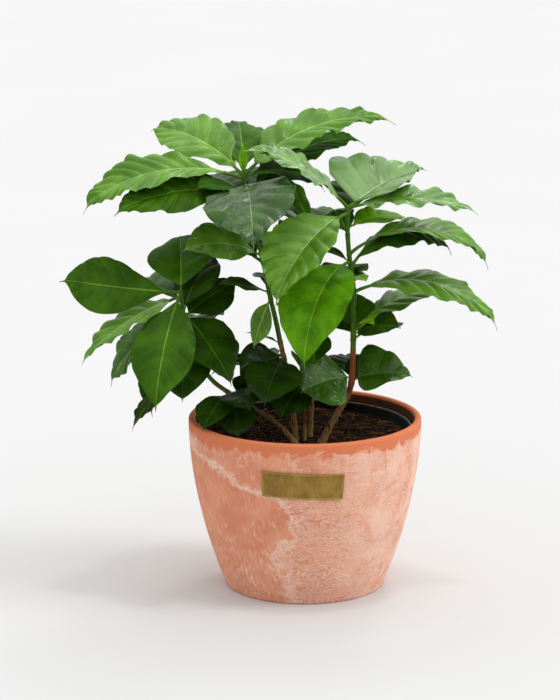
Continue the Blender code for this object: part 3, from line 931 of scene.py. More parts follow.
@dataclass
class TubePath:
    """A round limb: the points of its centre line, its radii and its relief."""

    points: list[Vector]
    radii: list[float]
    sides: int
    relief_mm: float = 0.0
    seed: float = 0.0
    ring_step: float = 0.16
    ridges: float = 2.6
    fine_ridges: float = 5.0

    def build(self) -> bmesh.types.BMesh:
        """Wrap a grid round the centre line and close its ends.

        Returns:
            The limb as a closed shape.
        """
        rows = len(self.points) - 1
        shape = bmesh.new()
        bmesh.ops.create_grid(shape, x_segments=rows, y_segments=self.sides, size=1.0)
        frames = self.frames()
        for vert in shape.verts:
            row = round((vert.co.x + 1.0) / 2.0 * rows)
            turn = round((vert.co.y + 1.0) / 2.0 * self.sides) % self.sides
            angle = math.tau * turn / self.sides
            first, second = frames[row]
            out = first * math.cos(angle) + second * math.sin(angle)
            radius = self.radii[row] + self.relief(row, out)
            vert.co = self.points[row] + out * radius
        bmesh.ops.remove_doubles(shape, verts=shape.verts, dist=0.001 * MM)
        open_edges = [edge for edge in shape.edges if edge.is_boundary]
        bmesh.ops.holes_fill(shape, edges=open_edges)
        bmesh.ops.recalc_face_normals(shape, faces=shape.faces)
        return shape

    def frames(self) -> list[tuple[Vector, Vector]]:
        """Carry two directions along the centre line with no twist.

        Returns:
            Two directions across the line for each of its points.
        """
        tangents = []
        for index in range(len(self.points)):
            before = self.points[max(index - 1, 0)]
            after = self.points[min(index + 1, len(self.points) - 1)]
            tangents.append((after - before).normalized())
        first = tangents[0].orthogonal().normalized()
        pairs = []
        for tangent in tangents:
            first = (first - tangent * first.dot(tangent)).normalized()
            pairs.append((first, tangent.cross(first)))
        return pairs

    def relief(self, row: int, out: Vector) -> float:
        """Height of the bark's ridges in metres at a point of a ring.

        Args:
            row: Ring of the point.
            out: Direction from the centre line.

        Returns:
            How far the bark stands out there.
        """
        if not self.relief_mm:
            return 0.0
        along, broad, fine = row * self.ring_step, self.ridges, self.fine_ridges
        place = Vector((out.x * broad, out.y * broad, along + self.seed))
        finer = Vector((out.x * fine, out.y * fine, along * broad + self.seed))
        return self.relief_mm * MM * (noise.noise(place) + 0.5 * noise.noise(finer))


@dataclass
class StemLine:
    """The course of a stem, worked out from its named points."""

    stem: Stem
    step_mm: float = 1.0
    flare_share: float = 0.45
    flare_height_mm: float = 5.0
    ground: float = field(default_factory=lambda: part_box("soil")[1].z - SOIL_EDGE_RISE)
    line: list[Vector] = field(init=False)

    def __post_init__(self) -> None:
        """Run a smooth curve through the stem's points."""
        named = [Vector(point) * MM for point in self.stem.points]
        ends = [2 * named[0] - named[1], *named, 2 * named[-1] - named[-2]]
        self.line = []
        for index in range(1, len(ends) - 2):
            before, start, end, after = ends[index - 1:index + 3]
            count = max(2, round((end - start).length / MM / self.step_mm))
            for step in range(count):
                t = step / count
                self.line.append(0.5 * (
                    2 * start + (end - before) * t
                    + (2 * before - 5 * start + 4 * end - after) * t * t
                    + (3 * start - before - 3 * end + after) * t ** 3))
        self.line.append(named[-1])

    def point_at(self, height: float) -> Vector:
        """Find the centre line's point at a height.

        Args:
            height: Height in metres.

        Returns:
            The point, or the stem's tip above it.
        """
        for start, end in zip(self.line[:-1], self.line[1:]):
            if start.z <= height <= end.z:
                return start.lerp(end, (height - start.z) / (end.z - start.z))
        return self.line[-1].copy()

    def radius_at(self, height: float) -> float:
        """Taper the stem from its flared foot to its tip.

        Args:
            height: Height in metres.

        Returns:
            The radius there in metres.
        """
        top = self.stem.points[-1][2] * MM
        share = min(max((height - self.ground) / (top - self.ground), 0.0), 1.0)
        radius = self.stem.foot_radius + (self.stem.tip_radius - self.stem.foot_radius) * share
        above = max(height - self.ground, 0.0) / MM
        return MM * radius * (1.0 + self.flare_share * math.exp(-above / self.flare_height_mm))


@dataclass
class LeafCourse:
    """The midrib of one leaf, from inside its stem to its tip."""

    leaf: Leaf
    start: Vector
    sway: float = 0.0
    twist: float = 0.0
    steps: int = 64
    sway_centre: float = 0.4
    droop_from: float = 0.86
    frames: list[tuple[Vector, Vector, Vector]] = field(init=False)

    def __post_init__(self) -> None:
        """Walk along the leaf, turning with its bow, sway, twist and drooping tip."""
        leaf = self.leaf
        step_length = leaf.length * MM / self.steps
        point = self.start.copy()
        self.frames = []
        for step in range(self.steps + 1):
            share = step / self.steps
            level = self.level(share)
            flat_side = Vector((level.y, -level.x, 0.0))
            along = self.direction(share)
            roll = math.radians(leaf.roll + self.twist * (share - 0.5))
            normal = flat_side.cross(along)
            side = flat_side * math.cos(roll) - normal * math.sin(roll)
            up = normal * math.cos(roll) + flat_side * math.sin(roll)
            self.frames.append((point.copy(), side, up))
            point = point + self.direction((step + 0.5) / self.steps) * step_length

    def level(self, share: float) -> Vector:
        """Find where the midrib heads in plan, with its sway.

        Args:
            share: Share of the leaf's length.

        Returns:
            The level direction there.
        """
        swayed = self.sway * (share - self.sway_centre)
        heading = math.radians(self.leaf.heading + swayed)
        return Vector((math.cos(heading), math.sin(heading), 0.0))

    def direction(self, share: float) -> Vector:
        """Find where the midrib heads, with its bow and its drooping tip.

        Args:
            share: Share of the leaf's length.

        Returns:
            The direction there.
        """
        leaf = self.leaf
        droop = leaf.droop * smooth_step(self.droop_from, 1.0, share)
        pitch = math.radians(leaf.pitch + leaf.bow * (0.5 - share) - droop)
        return self.level(share) * math.cos(pitch) + Vector((0.0, 0.0, math.sin(pitch)))

    def at(self, share: float) -> tuple[Vector, Vector, Vector]:
        """Read the midrib between its steps.

        Args:
            share: Share of the leaf's length, from 0 to 1.

        Returns:
            The point there, the direction to the side and the one up.
        """
        place = min(max(share, 0.0), 1.0) * self.steps
        index = min(int(place), self.steps - 1)
        first, second = self.frames[index], self.frames[index + 1]
        return tuple(one.lerp(two, place - index) for one, two in zip(first, second))


@dataclass
class Row:
    """One row of a blade: its place along the midrib and its crest height."""

    place: float
    crest: float
    vein: bool


@dataclass
class Blade:
    """A coffee leaf's blade, quilted between its side veins, with a drip tip."""

    leaf: Leaf
    course: LeafCourse
    seed: str
    petiole_share: float = 0.09
    cup: float = 0.12
    thick_mm: float = 0.45
    thin_share: float = 0.3
    thick_half_mm: float = 6.0
    vein_mm: float = 0.42
    vein_gap_mm: float = 14.5
    full_length: float = 110.0
    full_half_mm: tuple[float, float] = (1.0, 7.0)
    quilt_mm: float = 2.1
    quilt_full: float = 0.75
    quilt_fall: float = 0.45
    wave_mm: float = 1.5
    wave_count: tuple[float, float] = (2.2, 3.4)
    wave_power: float = 2.2
    second_wave: float = 2.1
    calm_end: float = 0.16
    ripple_mm: float = 0.7
    scallop: float = 0.015
    first_vein: float = 0.07
    vein_span: float = 0.80
    vein_stray: float = 0.12
    swells: tuple[float, float] = (0.45, 1.25)
    sweep: float = 0.19
    sweep_power: float = 1.15
    rib_half_mm: float = 0.62
    rib_taper: tuple[float, float] = (1.15, 0.85)
    rib_limit: float = 0.35
    ridge_mm: float = 0.18
    keel_mm: float = 0.9
    keel_foot: float = 1.1
    roundness: float = 0.82
    body_end: float = 0.945
    base_share: float = 0.74
    base_end: float = 0.22
    taper_span: tuple[float, float] = (0.62, 0.93)
    tail_mm: float = 1.15
    tail_length: float = 90.0
    tail_span: tuple[float, float] = (0.5, 0.9)
    tail_cut: float = 0.75
    least: float = 0.0002
    base_rows: tuple[tuple[float, float], ...] = ((0.0, 0.0), (0.03, 0.3))
    quilt_rows: tuple[float, ...] = (0.14, 0.32, 0.5, 0.68, 0.86)
    tip_rows: tuple[tuple[float, float], ...] = (
        (0.888, 0.5), (0.906, 0.7), (0.924, 0.4), (0.942, 0.1), (0.958, 0.0),
        (0.972, 0.0), (0.986, 0.0), (1.0, 0.0))
    half_columns: tuple[float, ...] = (
        0.05, 0.16, 0.28, 0.4, 0.52, 0.64, 0.76, 0.86, 0.94, 1.0)
    phases: list[float] = field(init=False)
    waves: float = field(init=False)

    def __post_init__(self) -> None:
        """Throw the phases of the margins' waves and how many there are."""
        dice = random.Random(self.seed)
        self.phases = [dice.uniform(0.0, math.tau) for _ in range(4)]
        self.waves = dice.uniform(*self.wave_count) * min(self.leaf.length / 100.0, 1.2)

    def half_width(self, place: float) -> float:
        """Half the blade's width in metres at a place from base to tip.

        Args:
            place: Place along the blade, 0 at its base and 1 at its tip.

        Returns:
            The body's half-width with its tapered base and drip tip.
        """
        if place <= 0.0 or place >= 1.0:
            return self.least
        body = math.sin(math.pi * min(place / self.body_end, 1.0) ** self.leaf.belly)
        share = max(body, 0.0) ** self.roundness
        opened = smooth_step(0.0, self.base_end, place)
        share *= self.base_share + (1.0 - self.base_share) * opened
        share *= 1.0 - self.leaf.taper * smooth_step(*self.taper_span, place)
        scale = min(self.leaf.length / self.tail_length, 1.1)
        tail = self.tail_mm * MM * scale * smooth_step(*self.tail_span, place) * (
            1.0 - self.tail_cut * smooth_step(self.tail_span[1], 1.0, place))
        return max(0.5 * self.leaf.width * MM * share + 0.6 * tail, tail, self.least)

    def rows(self) -> list[Row]:
        """Rows of the blade: two at each side vein and five on each quilt.

        Returns:
            The rows from base to tip.
        """
        dice = random.Random("quilts " + self.seed)
        veins = max(4, round(self.leaf.length / self.vein_gap_mm))
        half = 0.5 * self.vein_mm / self.leaf.length
        stray = self.vein_stray / veins
        places = [self.first_vein + self.vein_span * (index / (veins - 1)) ** 0.95
                  + dice.uniform(-stray, stray) for index in range(veins)]
        rows = [Row(place, crest, False) for place, crest in self.base_rows]
        for index, place in enumerate(places):
            rows += [Row(place - half, 0.0, True), Row(place + half, 0.0, False)]
            if index < veins - 1:
                gap = places[index + 1] - place - 2 * half
                swell = dice.uniform(*self.swells)
                rows += [Row(place + half + gap * share,
                             swell * math.sin(math.pi * share) ** self.quilt_full, False)
                         for share in self.quilt_rows]
        return rows + [Row(place, crest, False) for place, crest in self.tip_rows]

    def columns(self) -> list[float]:
        """Shares across the blade from its left margin to its right one."""
        right = self.half_columns
        return [*(-share for share in reversed(right)), 0.0, *right]

    def build(self) -> bmesh.types.BMesh:
        """Shape a grid into the blade's upper face and close it with a lower one.

        Returns:
            The blade; its faces carry the numbers of BladePart.
        """
        rows, columns = self.rows(), self.columns()
        shape = bmesh.new()
        bmesh.ops.create_grid(shape, x_segments=len(rows) - 1,
                              y_segments=len(columns) - 1, size=1.0)
        last = len(columns) - 1
        places = {}
        for vert in shape.verts:
            row = round((vert.co.x + 1.0) / 2.0 * (len(rows) - 1))
            column = round((vert.co.y + 1.0) / 2.0 * last)
            places[vert] = (row, column)
        for face in shape.faces:
            row = min(places[vert][0] for vert in face.verts)
            column = min(places[vert][1] for vert in face.verts)
            far_out = column < 2 or column > last - 3
            if last // 2 - 1 <= column <= last // 2:
                face.material_index = BladePart.RIB.value
            elif rows[row].vein and not far_out:
                face.material_index = BladePart.VEIN.value
        under = bmesh.ops.duplicate(shape, geom=shape.verts[:] + shape.edges[:]
                                    + shape.faces[:])
        lower = [item for item in under["geom"] if isinstance(item, bmesh.types.BMFace)]
        bmesh.ops.reverse_faces(shape, faces=lower)
        for face in lower:
            is_blade = face.material_index == BladePart.BLADE.value
            face.material_index = (BladePart.UNDER if is_blade else BladePart.UNDER_RIB).value
        for vert, (row, column) in places.items():
            top, bottom = self.pair_at(rows[row], columns[column])
            vert.co = top
            under["vert_map"][vert].co = bottom
        bmesh.ops.remove_doubles(shape, verts=shape.verts, dist=0.002 * MM)
        open_edges = [edge for edge in shape.edges if edge.is_boundary]
        bmesh.ops.holes_fill(shape, edges=open_edges)
        lower_parts = (BladePart.UNDER.value, BladePart.UNDER_RIB.value)
        for edge in shape.edges:
            kinds = {face.material_index in lower_parts for face in edge.link_faces}
            edge.smooth = len(kinds) < 2
        return shape

    def margin_wave(self, place: float, across: float) -> float:
        """Height in metres of the margin's wave at a place and share across.

        Args:
            place: Place along the midrib.
            across: Share from the left margin at -1 to the right one at 1.

        Returns:
            The height, none at the midrib and full at the margin.
        """
        first, second = self.phases[:2] if across < 0 else self.phases[2:]
        swing = math.sin(math.tau * self.waves * place + first)
        swing += 0.5 * math.sin(math.tau * self.second_wave * self.waves * place + second)
        ends = smooth_step(0.0, self.calm_end, place) * smooth_step(
            0.0, self.calm_end, 1.0 - place)
        reach = abs(across) ** self.wave_power
        return self.leaf.wave * self.wave_mm * MM * reach * swing * ends

    def pair_at(self, row: Row, across: float) -> tuple[Vector, Vector]:
        """The upper and lower point at a row and a share across the blade.

        Args:
            row: Row of the blade.
            across: Share from the left margin at -1 to the right one at 1.

        Returns:
            The upper point and the lower one.
        """
        leaf = self.leaf
        reach = abs(across)
        swept = self.sweep * reach ** self.sweep_power
        place = row.place + swept * math.sin(math.pi * row.place)
        share = self.petiole_share + (1.0 - self.petiole_share) * place
        point, side, up = self.course.at(share)
        wide = smooth_step(*self.full_half_mm, self.half_width(place) / MM)
        half = self.half_width(place) * (
            1.0 + self.scallop * leaf.quilt * (2.0 * row.crest - 1.0) * wide)
        foot, lost = self.rib_taper
        rib_half = min(self.rib_half_mm * MM * (foot - lost * place), self.rib_limit * half)
        fold = math.radians(leaf.fold)
        reached = rib_half / half if reach == self.half_columns[0] else reach
        rise = reached * math.sin(fold) - self.cup * reached * reached
        scale = min(leaf.length / self.full_length, 1.0)
        quilt = self.quilt_mm * leaf.quilt * MM * scale * row.crest * math.sqrt(reached) * (
            1.0 - self.quilt_fall * reached * reached) * wide
        ripple = self.ripple_mm * leaf.wave * MM * scale * (row.crest - 0.5) * reached ** 3
        lift = quilt + (self.margin_wave(place, across) * scale + ripple) * wide
        base = point + side * half * math.copysign(reached, across) * math.cos(fold)
        base = base + up * (half * rise + lift)
        thickened = min(half / (self.thick_half_mm * MM), 1.0)
        thick = self.thick_mm * MM * (1.0 - reached * reached) * (
            self.thin_share + (1.0 - self.thin_share) * thickened)
        ridge = up * self.ridge_mm * MM * scale if across == 0.0 else Vector()
        keel = self.keel_mm * MM * (self.keel_foot - place) * scale if across == 0.0 else 0.0
        return base + up * 0.5 * thick + ridge, base - up * (0.5 * thick + keel)


@dataclass
class Foliage:
    """The leaves and leaf stalks of one mass."""

    mass: Mass
    line: StemLine
    finishes: LeafFinishes
    petiole_top_mm: float = 0.75
    petiole_foot_mm: float = 1.3
    stalk_share: float = 0.34
    stalk_rings: int = 14
    stalk_sides: int = 10
    stalk_drop_mm: float = 0.45
    sway: float = 4.0
    twist: float = 5.0

    def build(self) -> list[bpy.types.Object]:
        """Build the blades as one piece and the stalks as another.

        Returns:
            The two pieces.
        """
        blades, stalks = bmesh.new(), bmesh.new()
        parts = len(BladePart)
        tones = sorted({leaf.tone for leaf in self.mass.leaves}, key=lambda tone: tone.name)
        for number, leaf in enumerate(self.mass.leaves):
            seed = f"{self.mass.name}_{number}"
            dice = random.Random("course " + seed)
            course = LeafCourse(leaf, self.line.point_at(leaf.height * MM),
                                dice.uniform(-self.sway, self.sway),
                                dice.uniform(-self.twist, self.twist))
            blade = Blade(leaf, course, seed).build()
            for face in blade.faces:
                face.material_index += parts * tones.index(leaf.tone)
            join_shape(blades, blade)
            join_shape(stalks, self.stalk(leaf, course))
        name = self.mass.name.replace("foliage_", "")
        materials = [material for tone in tones for material in self.finishes.of(tone)]
        return [
            finish_piece("leaves_" + name, blades, materials, (self.mass.name,)),
            finish_piece("stalks_" + name, stalks, [self.finishes.stalk]),
        ]

    def stalk(self, leaf: Leaf, course: LeafCourse) -> bmesh.types.BMesh:
        """The leaf stalk, which runs on under the midrib for a third of the blade.

        Args:
            leaf: The leaf.
            course: Its midrib.

        Returns:
            The stalk as a closed shape.
        """
        scale = min(max(leaf.length / 90.0, 0.45), 1.15)
        points, radii = [], []
        for step in range(self.stalk_rings + 1):
            along = step / self.stalk_rings
            share = self.stalk_share * along
            point, _, up = course.at(share)
            radius = self.petiole_foot_mm + (self.petiole_top_mm - self.petiole_foot_mm) * (
                smooth_step(0.0, 0.25, share))
            radius = radius * scale * (1.0 - 0.75 * smooth_step(0.3, 1.0, along))
            points.append(point - up * self.stalk_drop_mm * MM * smooth_step(0.05, 0.12, share))
            radii.append(radius * MM)
        return TubePath(points, radii, self.stalk_sides).build()


@dataclass
class StemBark:
    """The bark of one stem, in one piece from the soil to its tip."""

    stem: Stem
    line: StemLine
    ring_mm: float = 0.8
    sides: int = 22
    relief_mm: float = 0.16
    scar_mm: float = 15.0
    leaf_gap_mm: float = 6.0
    joint_mm: float = 1.5
    joint_swell: float = 0.16
    tip_share: float = 0.55
    sunk_mm: float = 2.5

    def build(self) -> bpy.types.Object:
        """Build the bark with its leaf joints and scars.

        Returns:
            The piece.
        """
        bottom = self.line.ground - self.sunk_mm * MM
        top = self.stem.points[-1][2] * MM
        count = round((top - bottom) / MM / self.ring_mm)
        heights = [bottom + (top - bottom) * step / count for step in range(count + 1)]
        joints = self.joints()
        points = [self.line.point_at(height) for height in heights]
        radii = [self.radius(height, joints) for height in heights]
        radii[-1] *= self.tip_share
        seed = 13.7 * len(self.stem.name) + self.stem.foot_radius
        path = TubePath(points, radii, self.sides, self.relief_mm, seed)
        finish = StemFinish("stem_bark_" + self.stem.name, self.stem.green_from,
                            self.stem.tan, self.stem.russet)
        return finish_piece("bark_" + self.stem.name, path.build(), [finish.build()],
                            self.stem.limbs)

    def joints(self) -> list[float]:
        """Set the leaf joints and the old leaf scars below them.

        Returns:
            Their heights in metres.
        """
        leaves = [leaf.height * MM for mass in self.stem.masses for leaf in mass.leaves]
        scars = []
        height = self.line.ground + 0.6 * self.scar_mm * MM
        while height < min(leaves) - self.leaf_gap_mm * MM:
            scars.append(height)
            height += self.scar_mm * MM
        return scars + leaves

    def radius(self, height: float, joints: list[float]) -> float:
        """Swell the stem a little at each joint.

        Args:
            height: Height in metres.
            joints: Heights of the joints in metres.

        Returns:
            The radius at the height in metres.
        """
        swell = max(math.exp(-((height - joint) / (self.joint_mm * MM)) ** 2)
                    for joint in joints)
        return self.line.radius_at(height) * (1.0 + self.joint_swell * swell)


@dataclass
class Pot:
    """The terracotta pot: a curved flare with a soft lip and a closed foot."""

    box: tuple[Vector, Vector] = field(default_factory=lambda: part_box("pot"))
    foot_radius: float = 0.0648
    swell: float = 1.9
    wall: float = 0.0056
    floor: float = 0.008
    lip: float = 0.0024
    foot_round: float = 0.0022
    rings: int = 34
    inner_rings: int = 14
    arc_steps: int = 6
    steps: int = 144
    inside_from: float = 0.004
    waver_mm: float = 0.12
    wavers_per_metre: float = 22.0
    still_height: float = 0.003
    still_radius: float = 0.04

    def radius_at(self, height: float) -> float:
        """Follow the pot's curved flare.

        Args:
            height: Height above the underside in metres.

        Returns:
            The outer radius there in metres.
        """
        low, high = self.box
        share = min(max((height - low.z) / (high.z - low.z), 0.0), 1.0)
        rim = high.x
        return self.foot_radius + (rim - self.foot_radius) * (1.0 - (1.0 - share) ** self.swell)

    def arc(self, radius: float, height: float, size: float, start: float,
            end: float) -> list[tuple[float, float]]:
        """Round a corner of the profile.

        Args:
            radius: Radius of the arc's centre from the pot's axis.
            height: Height of the arc's centre.
            size: Radius of the arc itself.
            start: First angle in degrees.
            end: Last angle in degrees.

        Returns:
            Radius and height of each point.
        """
        angles = [math.radians(start + (end - start) * step / self.arc_steps)
                  for step in range(self.arc_steps + 1)]
        return [(radius + size * math.cos(angle), height + size * math.sin(angle))
                for angle in angles]

    def build(self) -> bpy.types.Object:
        """Turn the pot and dress it outside and inside.

        Returns:
            The piece.
        """
        height, rim = self.box[1].z, self.box[1].x
        lip, low = self.lip, self.foot_round
        outer = [(height - lip) + (low - height + lip) * step / self.rings
                 for step in range(1, self.rings)]
        inner = [self.floor + (height - lip - self.floor) * step / self.inner_rings
                 for step in range(self.inner_rings + 1)]
        profile = [(0.0, self.floor)]
        profile += [(self.radius_at(level) - self.wall, level) for level in inner]
        profile += self.arc(profile[-1][0] + lip, height - lip, lip, 180, 90)[1:]
        profile += self.arc(rim - lip, height - lip, lip, 90, 0)
        profile += [(self.radius_at(level), level) for level in outer]
        profile += self.arc(self.radius_at(low) - low, low, low, 0, -90)
        profile += [(0.0, 0.0)]
        shape = turned_shape(profile, self.steps)
        # Faces on the inside of the wall take the dark brown of painted shade.
        for face in shape.faces:
            middle = face.calc_center_median()
            outward = middle.x * face.normal.x + middle.y * face.normal.y
            within = self.inside_from < middle.z < height - 1.5 * lip
            face.material_index = 1 if outward < 0 and within else 0
        for vert in shape.verts:
            level = Vector((vert.co.x, vert.co.y, 0.0))
            if vert.co.z > self.still_height and level.length > self.still_radius:
                waver = noise.noise(vert.co * self.wavers_per_metre) * self.waver_mm * MM
                vert.co += level.normalized() * waver
        materials = [TerracottaFinish("lime_washed_terracotta", True).build(),
                     TerracottaFinish("plain_terracotta", False).build()]
        return finish_piece("clay_pot", shape, materials, ("pot",))


@dataclass
class Liner:
    """The black nursery liner, of which the rolled lip shows above the soil."""

    box: tuple[Vector, Vector] = field(default_factory=lambda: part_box("liner"))
    base_radius: float = 0.054
    wall: float = 0.0011
    roll: float = 0.0011
    lip_angles: tuple[int, int, int] = (150, -61, -30)
    steps: int = 128

    def build(self) -> bpy.types.Object:
        """Turn the liner.

        Returns:
            The piece.
        """
        low, high = self.box[0].z, self.box[1].z
        out = self.box[1].x - self.roll
        lip = [(out - 0.4 * self.wall + self.roll * math.cos(math.radians(angle)),
                high - self.roll + self.roll * math.sin(math.radians(angle)))
               for angle in range(*self.lip_angles)]
        inside = (0.0, low + self.wall), (self.base_radius - self.wall, low + self.wall)
        outside = (out - self.wall, high - 3.2 * self.roll), (self.base_radius, low), (0.0, low)
        shape = turned_shape([*inside, (out - 2 * self.wall, high - 2.5 * self.roll), *lip,
                              *outside], self.steps)
        # The top of the rolled lip takes the pale grey of a painted highlight.
        for face in shape.faces:
            middle = face.calc_center_median()
            if middle.z > high - 0.6 * self.roll:
                face.material_index = 1
        # Moulded plastic has a dull, even sheen, and its lip is painted pale grey as a painted
        # highlight and is shinier.
        finishes = (PlainFinish("black_polypropylene", "#0B0C0A", "#141511", 0.55, 20.0, 1.2,
                                0.05, 0.08),
                    PlainFinish("scuffed_polypropylene", "#6E7468", "#4C5148", 0.45, 6.0, 0.8,
                                0.05, 0.3))
        return finish_piece("nursery_liner", shape, [item.build() for item in finishes],
                            ("liner",))


@dataclass
class Soil:
    """Moist coir soil: a lumpy top with fibres and crumbs lying on it."""

    box: tuple[Vector, Vector] = field(default_factory=lambda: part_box("soil"))
    level_share: float = 0.31
    dish_power: float = 1.1
    lump_mm: float = 1.6
    lumps_per_metre: float = 95.0
    grains_per_metre: float = 300.0
    grain_share: float = 0.45
    fibres: int = 1900
    fibre_mm: tuple[float, float] = (5.0, 17.0)
    foot_mm: tuple[float, float] = (0.12, 0.34)
    tip_mm: float = 0.08
    bend: float = 0.35
    tilt: float = 12.0
    lift_mm: tuple[float, float] = (0.1, 1.1)
    fibre_kinds: tuple[int, ...] = (0, 0, 1, 2)
    crumbs: int = 1500
    crumb_mm: tuple[float, float] = (0.5, 1.7)
    crumb_kinds: tuple[int, ...] = (0, 0, 0, 1)
    rings: int = 46
    steps: int = 170
    depth: float = 0.02
    edge: float = 0.004

    def top_at(self, place: Vector) -> float:
        """Dish the soil's top and cover it with lumps and grains.

        Args:
            place: Place in plan.

        Returns:
            Height of the top there in metres.
        """
        reach = Vector((place.x, place.y)).length / self.box[1].x
        climbed = max(reach - self.level_share, 0.0) / (1.0 - self.level_share)
        level = self.box[1].z - SOIL_EDGE_RISE * (1.0 - climbed ** self.dish_power)
        coarse = noise.noise(Vector((place.x, place.y, 0.0)) * self.lumps_per_metre)
        fine = noise.noise(Vector((place.x, place.y, 0.3)) * self.grains_per_metre)
        return level - 0.6 * self.lump_mm * MM + self.lump_mm * MM * (
            coarse + self.grain_share * fine)

    def build(self) -> list[bpy.types.Object]:
        """Build the body, the fibres and the crumbs.

        Returns:
            The three pieces.
        """
        radius = self.box[1].x
        rings = [(radius * step / self.rings, self.box[1].z) for step in range(self.rings + 1)]
        bottom = self.box[1].z - self.depth
        base = [(radius - 0.5 * self.edge, bottom), (0.0, bottom)]
        shape = turned_shape(rings + base, self.steps)
        for vert in shape.verts:
            if vert.co.z > self.box[1].z - 0.5 * self.depth:
                vert.co.z = self.top_at(vert.co)
        # Moist coir is nearly black, and too loose and rough to take a glint.
        body = PlainFinish("moist_coir", "#120A05", "#20130A", 0.92, 3.0, 0.8, 0.5)
        return [
            finish_piece("soil_body", shape, [body.build()], ("soil",)),
            self.fibre_piece(),
            self.crumb_piece(),
        ]

    def place_in(self, dice: random.Random) -> Vector:
        """Throw a place on the soil's top, even over its area.

        Args:
            dice: Source of the throws.

        Returns:
            The place.
        """
        reach = (self.box[1].x - self.edge) * math.sqrt(dice.random())
        angle = dice.uniform(0.0, math.tau)
        spot = Vector((reach * math.cos(angle), reach * math.sin(angle), 0.0))
        spot.z = self.top_at(spot)
        return spot

    def fibre_piece(self) -> bpy.types.Object:
        """Strew coir fibres: thin bent strands in three browns.

        Returns:
            All of them as one piece.
        """
        dice = random.Random(7)
        whole = bmesh.new()
        for _ in range(self.fibres):
            length = dice.uniform(*self.fibre_mm) * MM
            strand = bmesh.new()
            bmesh.ops.create_cone(strand, cap_ends=True, segments=3,
                                  radius1=dice.uniform(*self.foot_mm) * MM,
                                  radius2=self.tip_mm * MM, depth=length)
            bmesh.ops.subdivide_edges(strand, edges=[edge for edge in strand.edges
                                                     if edge.calc_length() > 0.5 * length],
                                      cuts=4)
            bend = dice.uniform(-self.bend, self.bend) * length
            for vert in strand.verts:
                share = vert.co.z / length
                vert.co.x += bend * share * share
                vert.co.y += 0.4 * bend * math.sin(math.pi * share)
            spot = self.place_in(dice)
            turn = Matrix.Rotation(dice.uniform(0, math.tau), 4, "Z")
            lean = Matrix.Rotation(math.radians(90 + dice.uniform(-self.tilt, self.tilt)),
                                   4, "Y")
            lift = Vector((0, 0, dice.uniform(*self.lift_mm) * MM))
            bmesh.ops.transform(strand, matrix=Matrix.Translation(spot + lift) @ (turn @ lean),
                                verts=strand.verts)
            kind = dice.choice(self.fibre_kinds)
            for face in strand.faces:
                face.material_index = kind
            join_shape(whole, strand)
        # Coir fibres are matt husk hairs, the paler the drier.
        finishes = (PlainFinish("dark_coir_fibre", "#2A180D", "#3A2314", 0.85, 3.0, 0.5),
                    PlainFinish("brown_coir_fibre", "#573519", "#6E4522", 0.8, 3.0, 0.5),
                    PlainFinish("pale_coir_fibre", "#86602F", "#A17A44", 0.75, 3.0, 0.5))
        return finish_piece("coir_fibres", whole, [item.build() for item in finishes])

    def crumb_piece(self) -> bpy.types.Object:
        """Strew crumbs and bark chips on the soil.

        Returns:
            All of them as one piece.
        """
        dice = random.Random(11)
        whole = bmesh.new()
        for _ in range(self.crumbs):
            crumb = bmesh.new()
            bmesh.ops.create_icosphere(crumb, subdivisions=1, radius=1.0)
            for vert in crumb.verts:
                vert.co *= dice.uniform(0.7, 1.2)
            size = dice.uniform(*self.crumb_mm) * MM
            scale = Vector((size * dice.uniform(0.8, 1.7), size, size * dice.uniform(0.5, 0.9)))
            turn = Matrix.Rotation(dice.uniform(0, math.tau), 4, "Z")
            place = Matrix.Translation(self.place_in(dice))
            bmesh.ops.transform(crumb, matrix=place @ turn @ Matrix.Diagonal((*scale, 1.0)),
                                verts=crumb.verts)
            kind = dice.choice(self.crumb_kinds)
            for face in crumb.faces:
                face.material_index = kind
            join_shape(whole, crumb)
        # Peat crumbs soak up light, and bark chips show their torn brown wood.
        finishes = (PlainFinish("peat_crumb", "#150C06", "#24150B", 0.95, 2.0, 0.4),
                    PlainFinish("bark_chip", "#3F2513", "#54341C", 0.85, 2.0, 0.4))
        return finish_piece("soil_crumbs", whole, [item.build() for item in finishes])


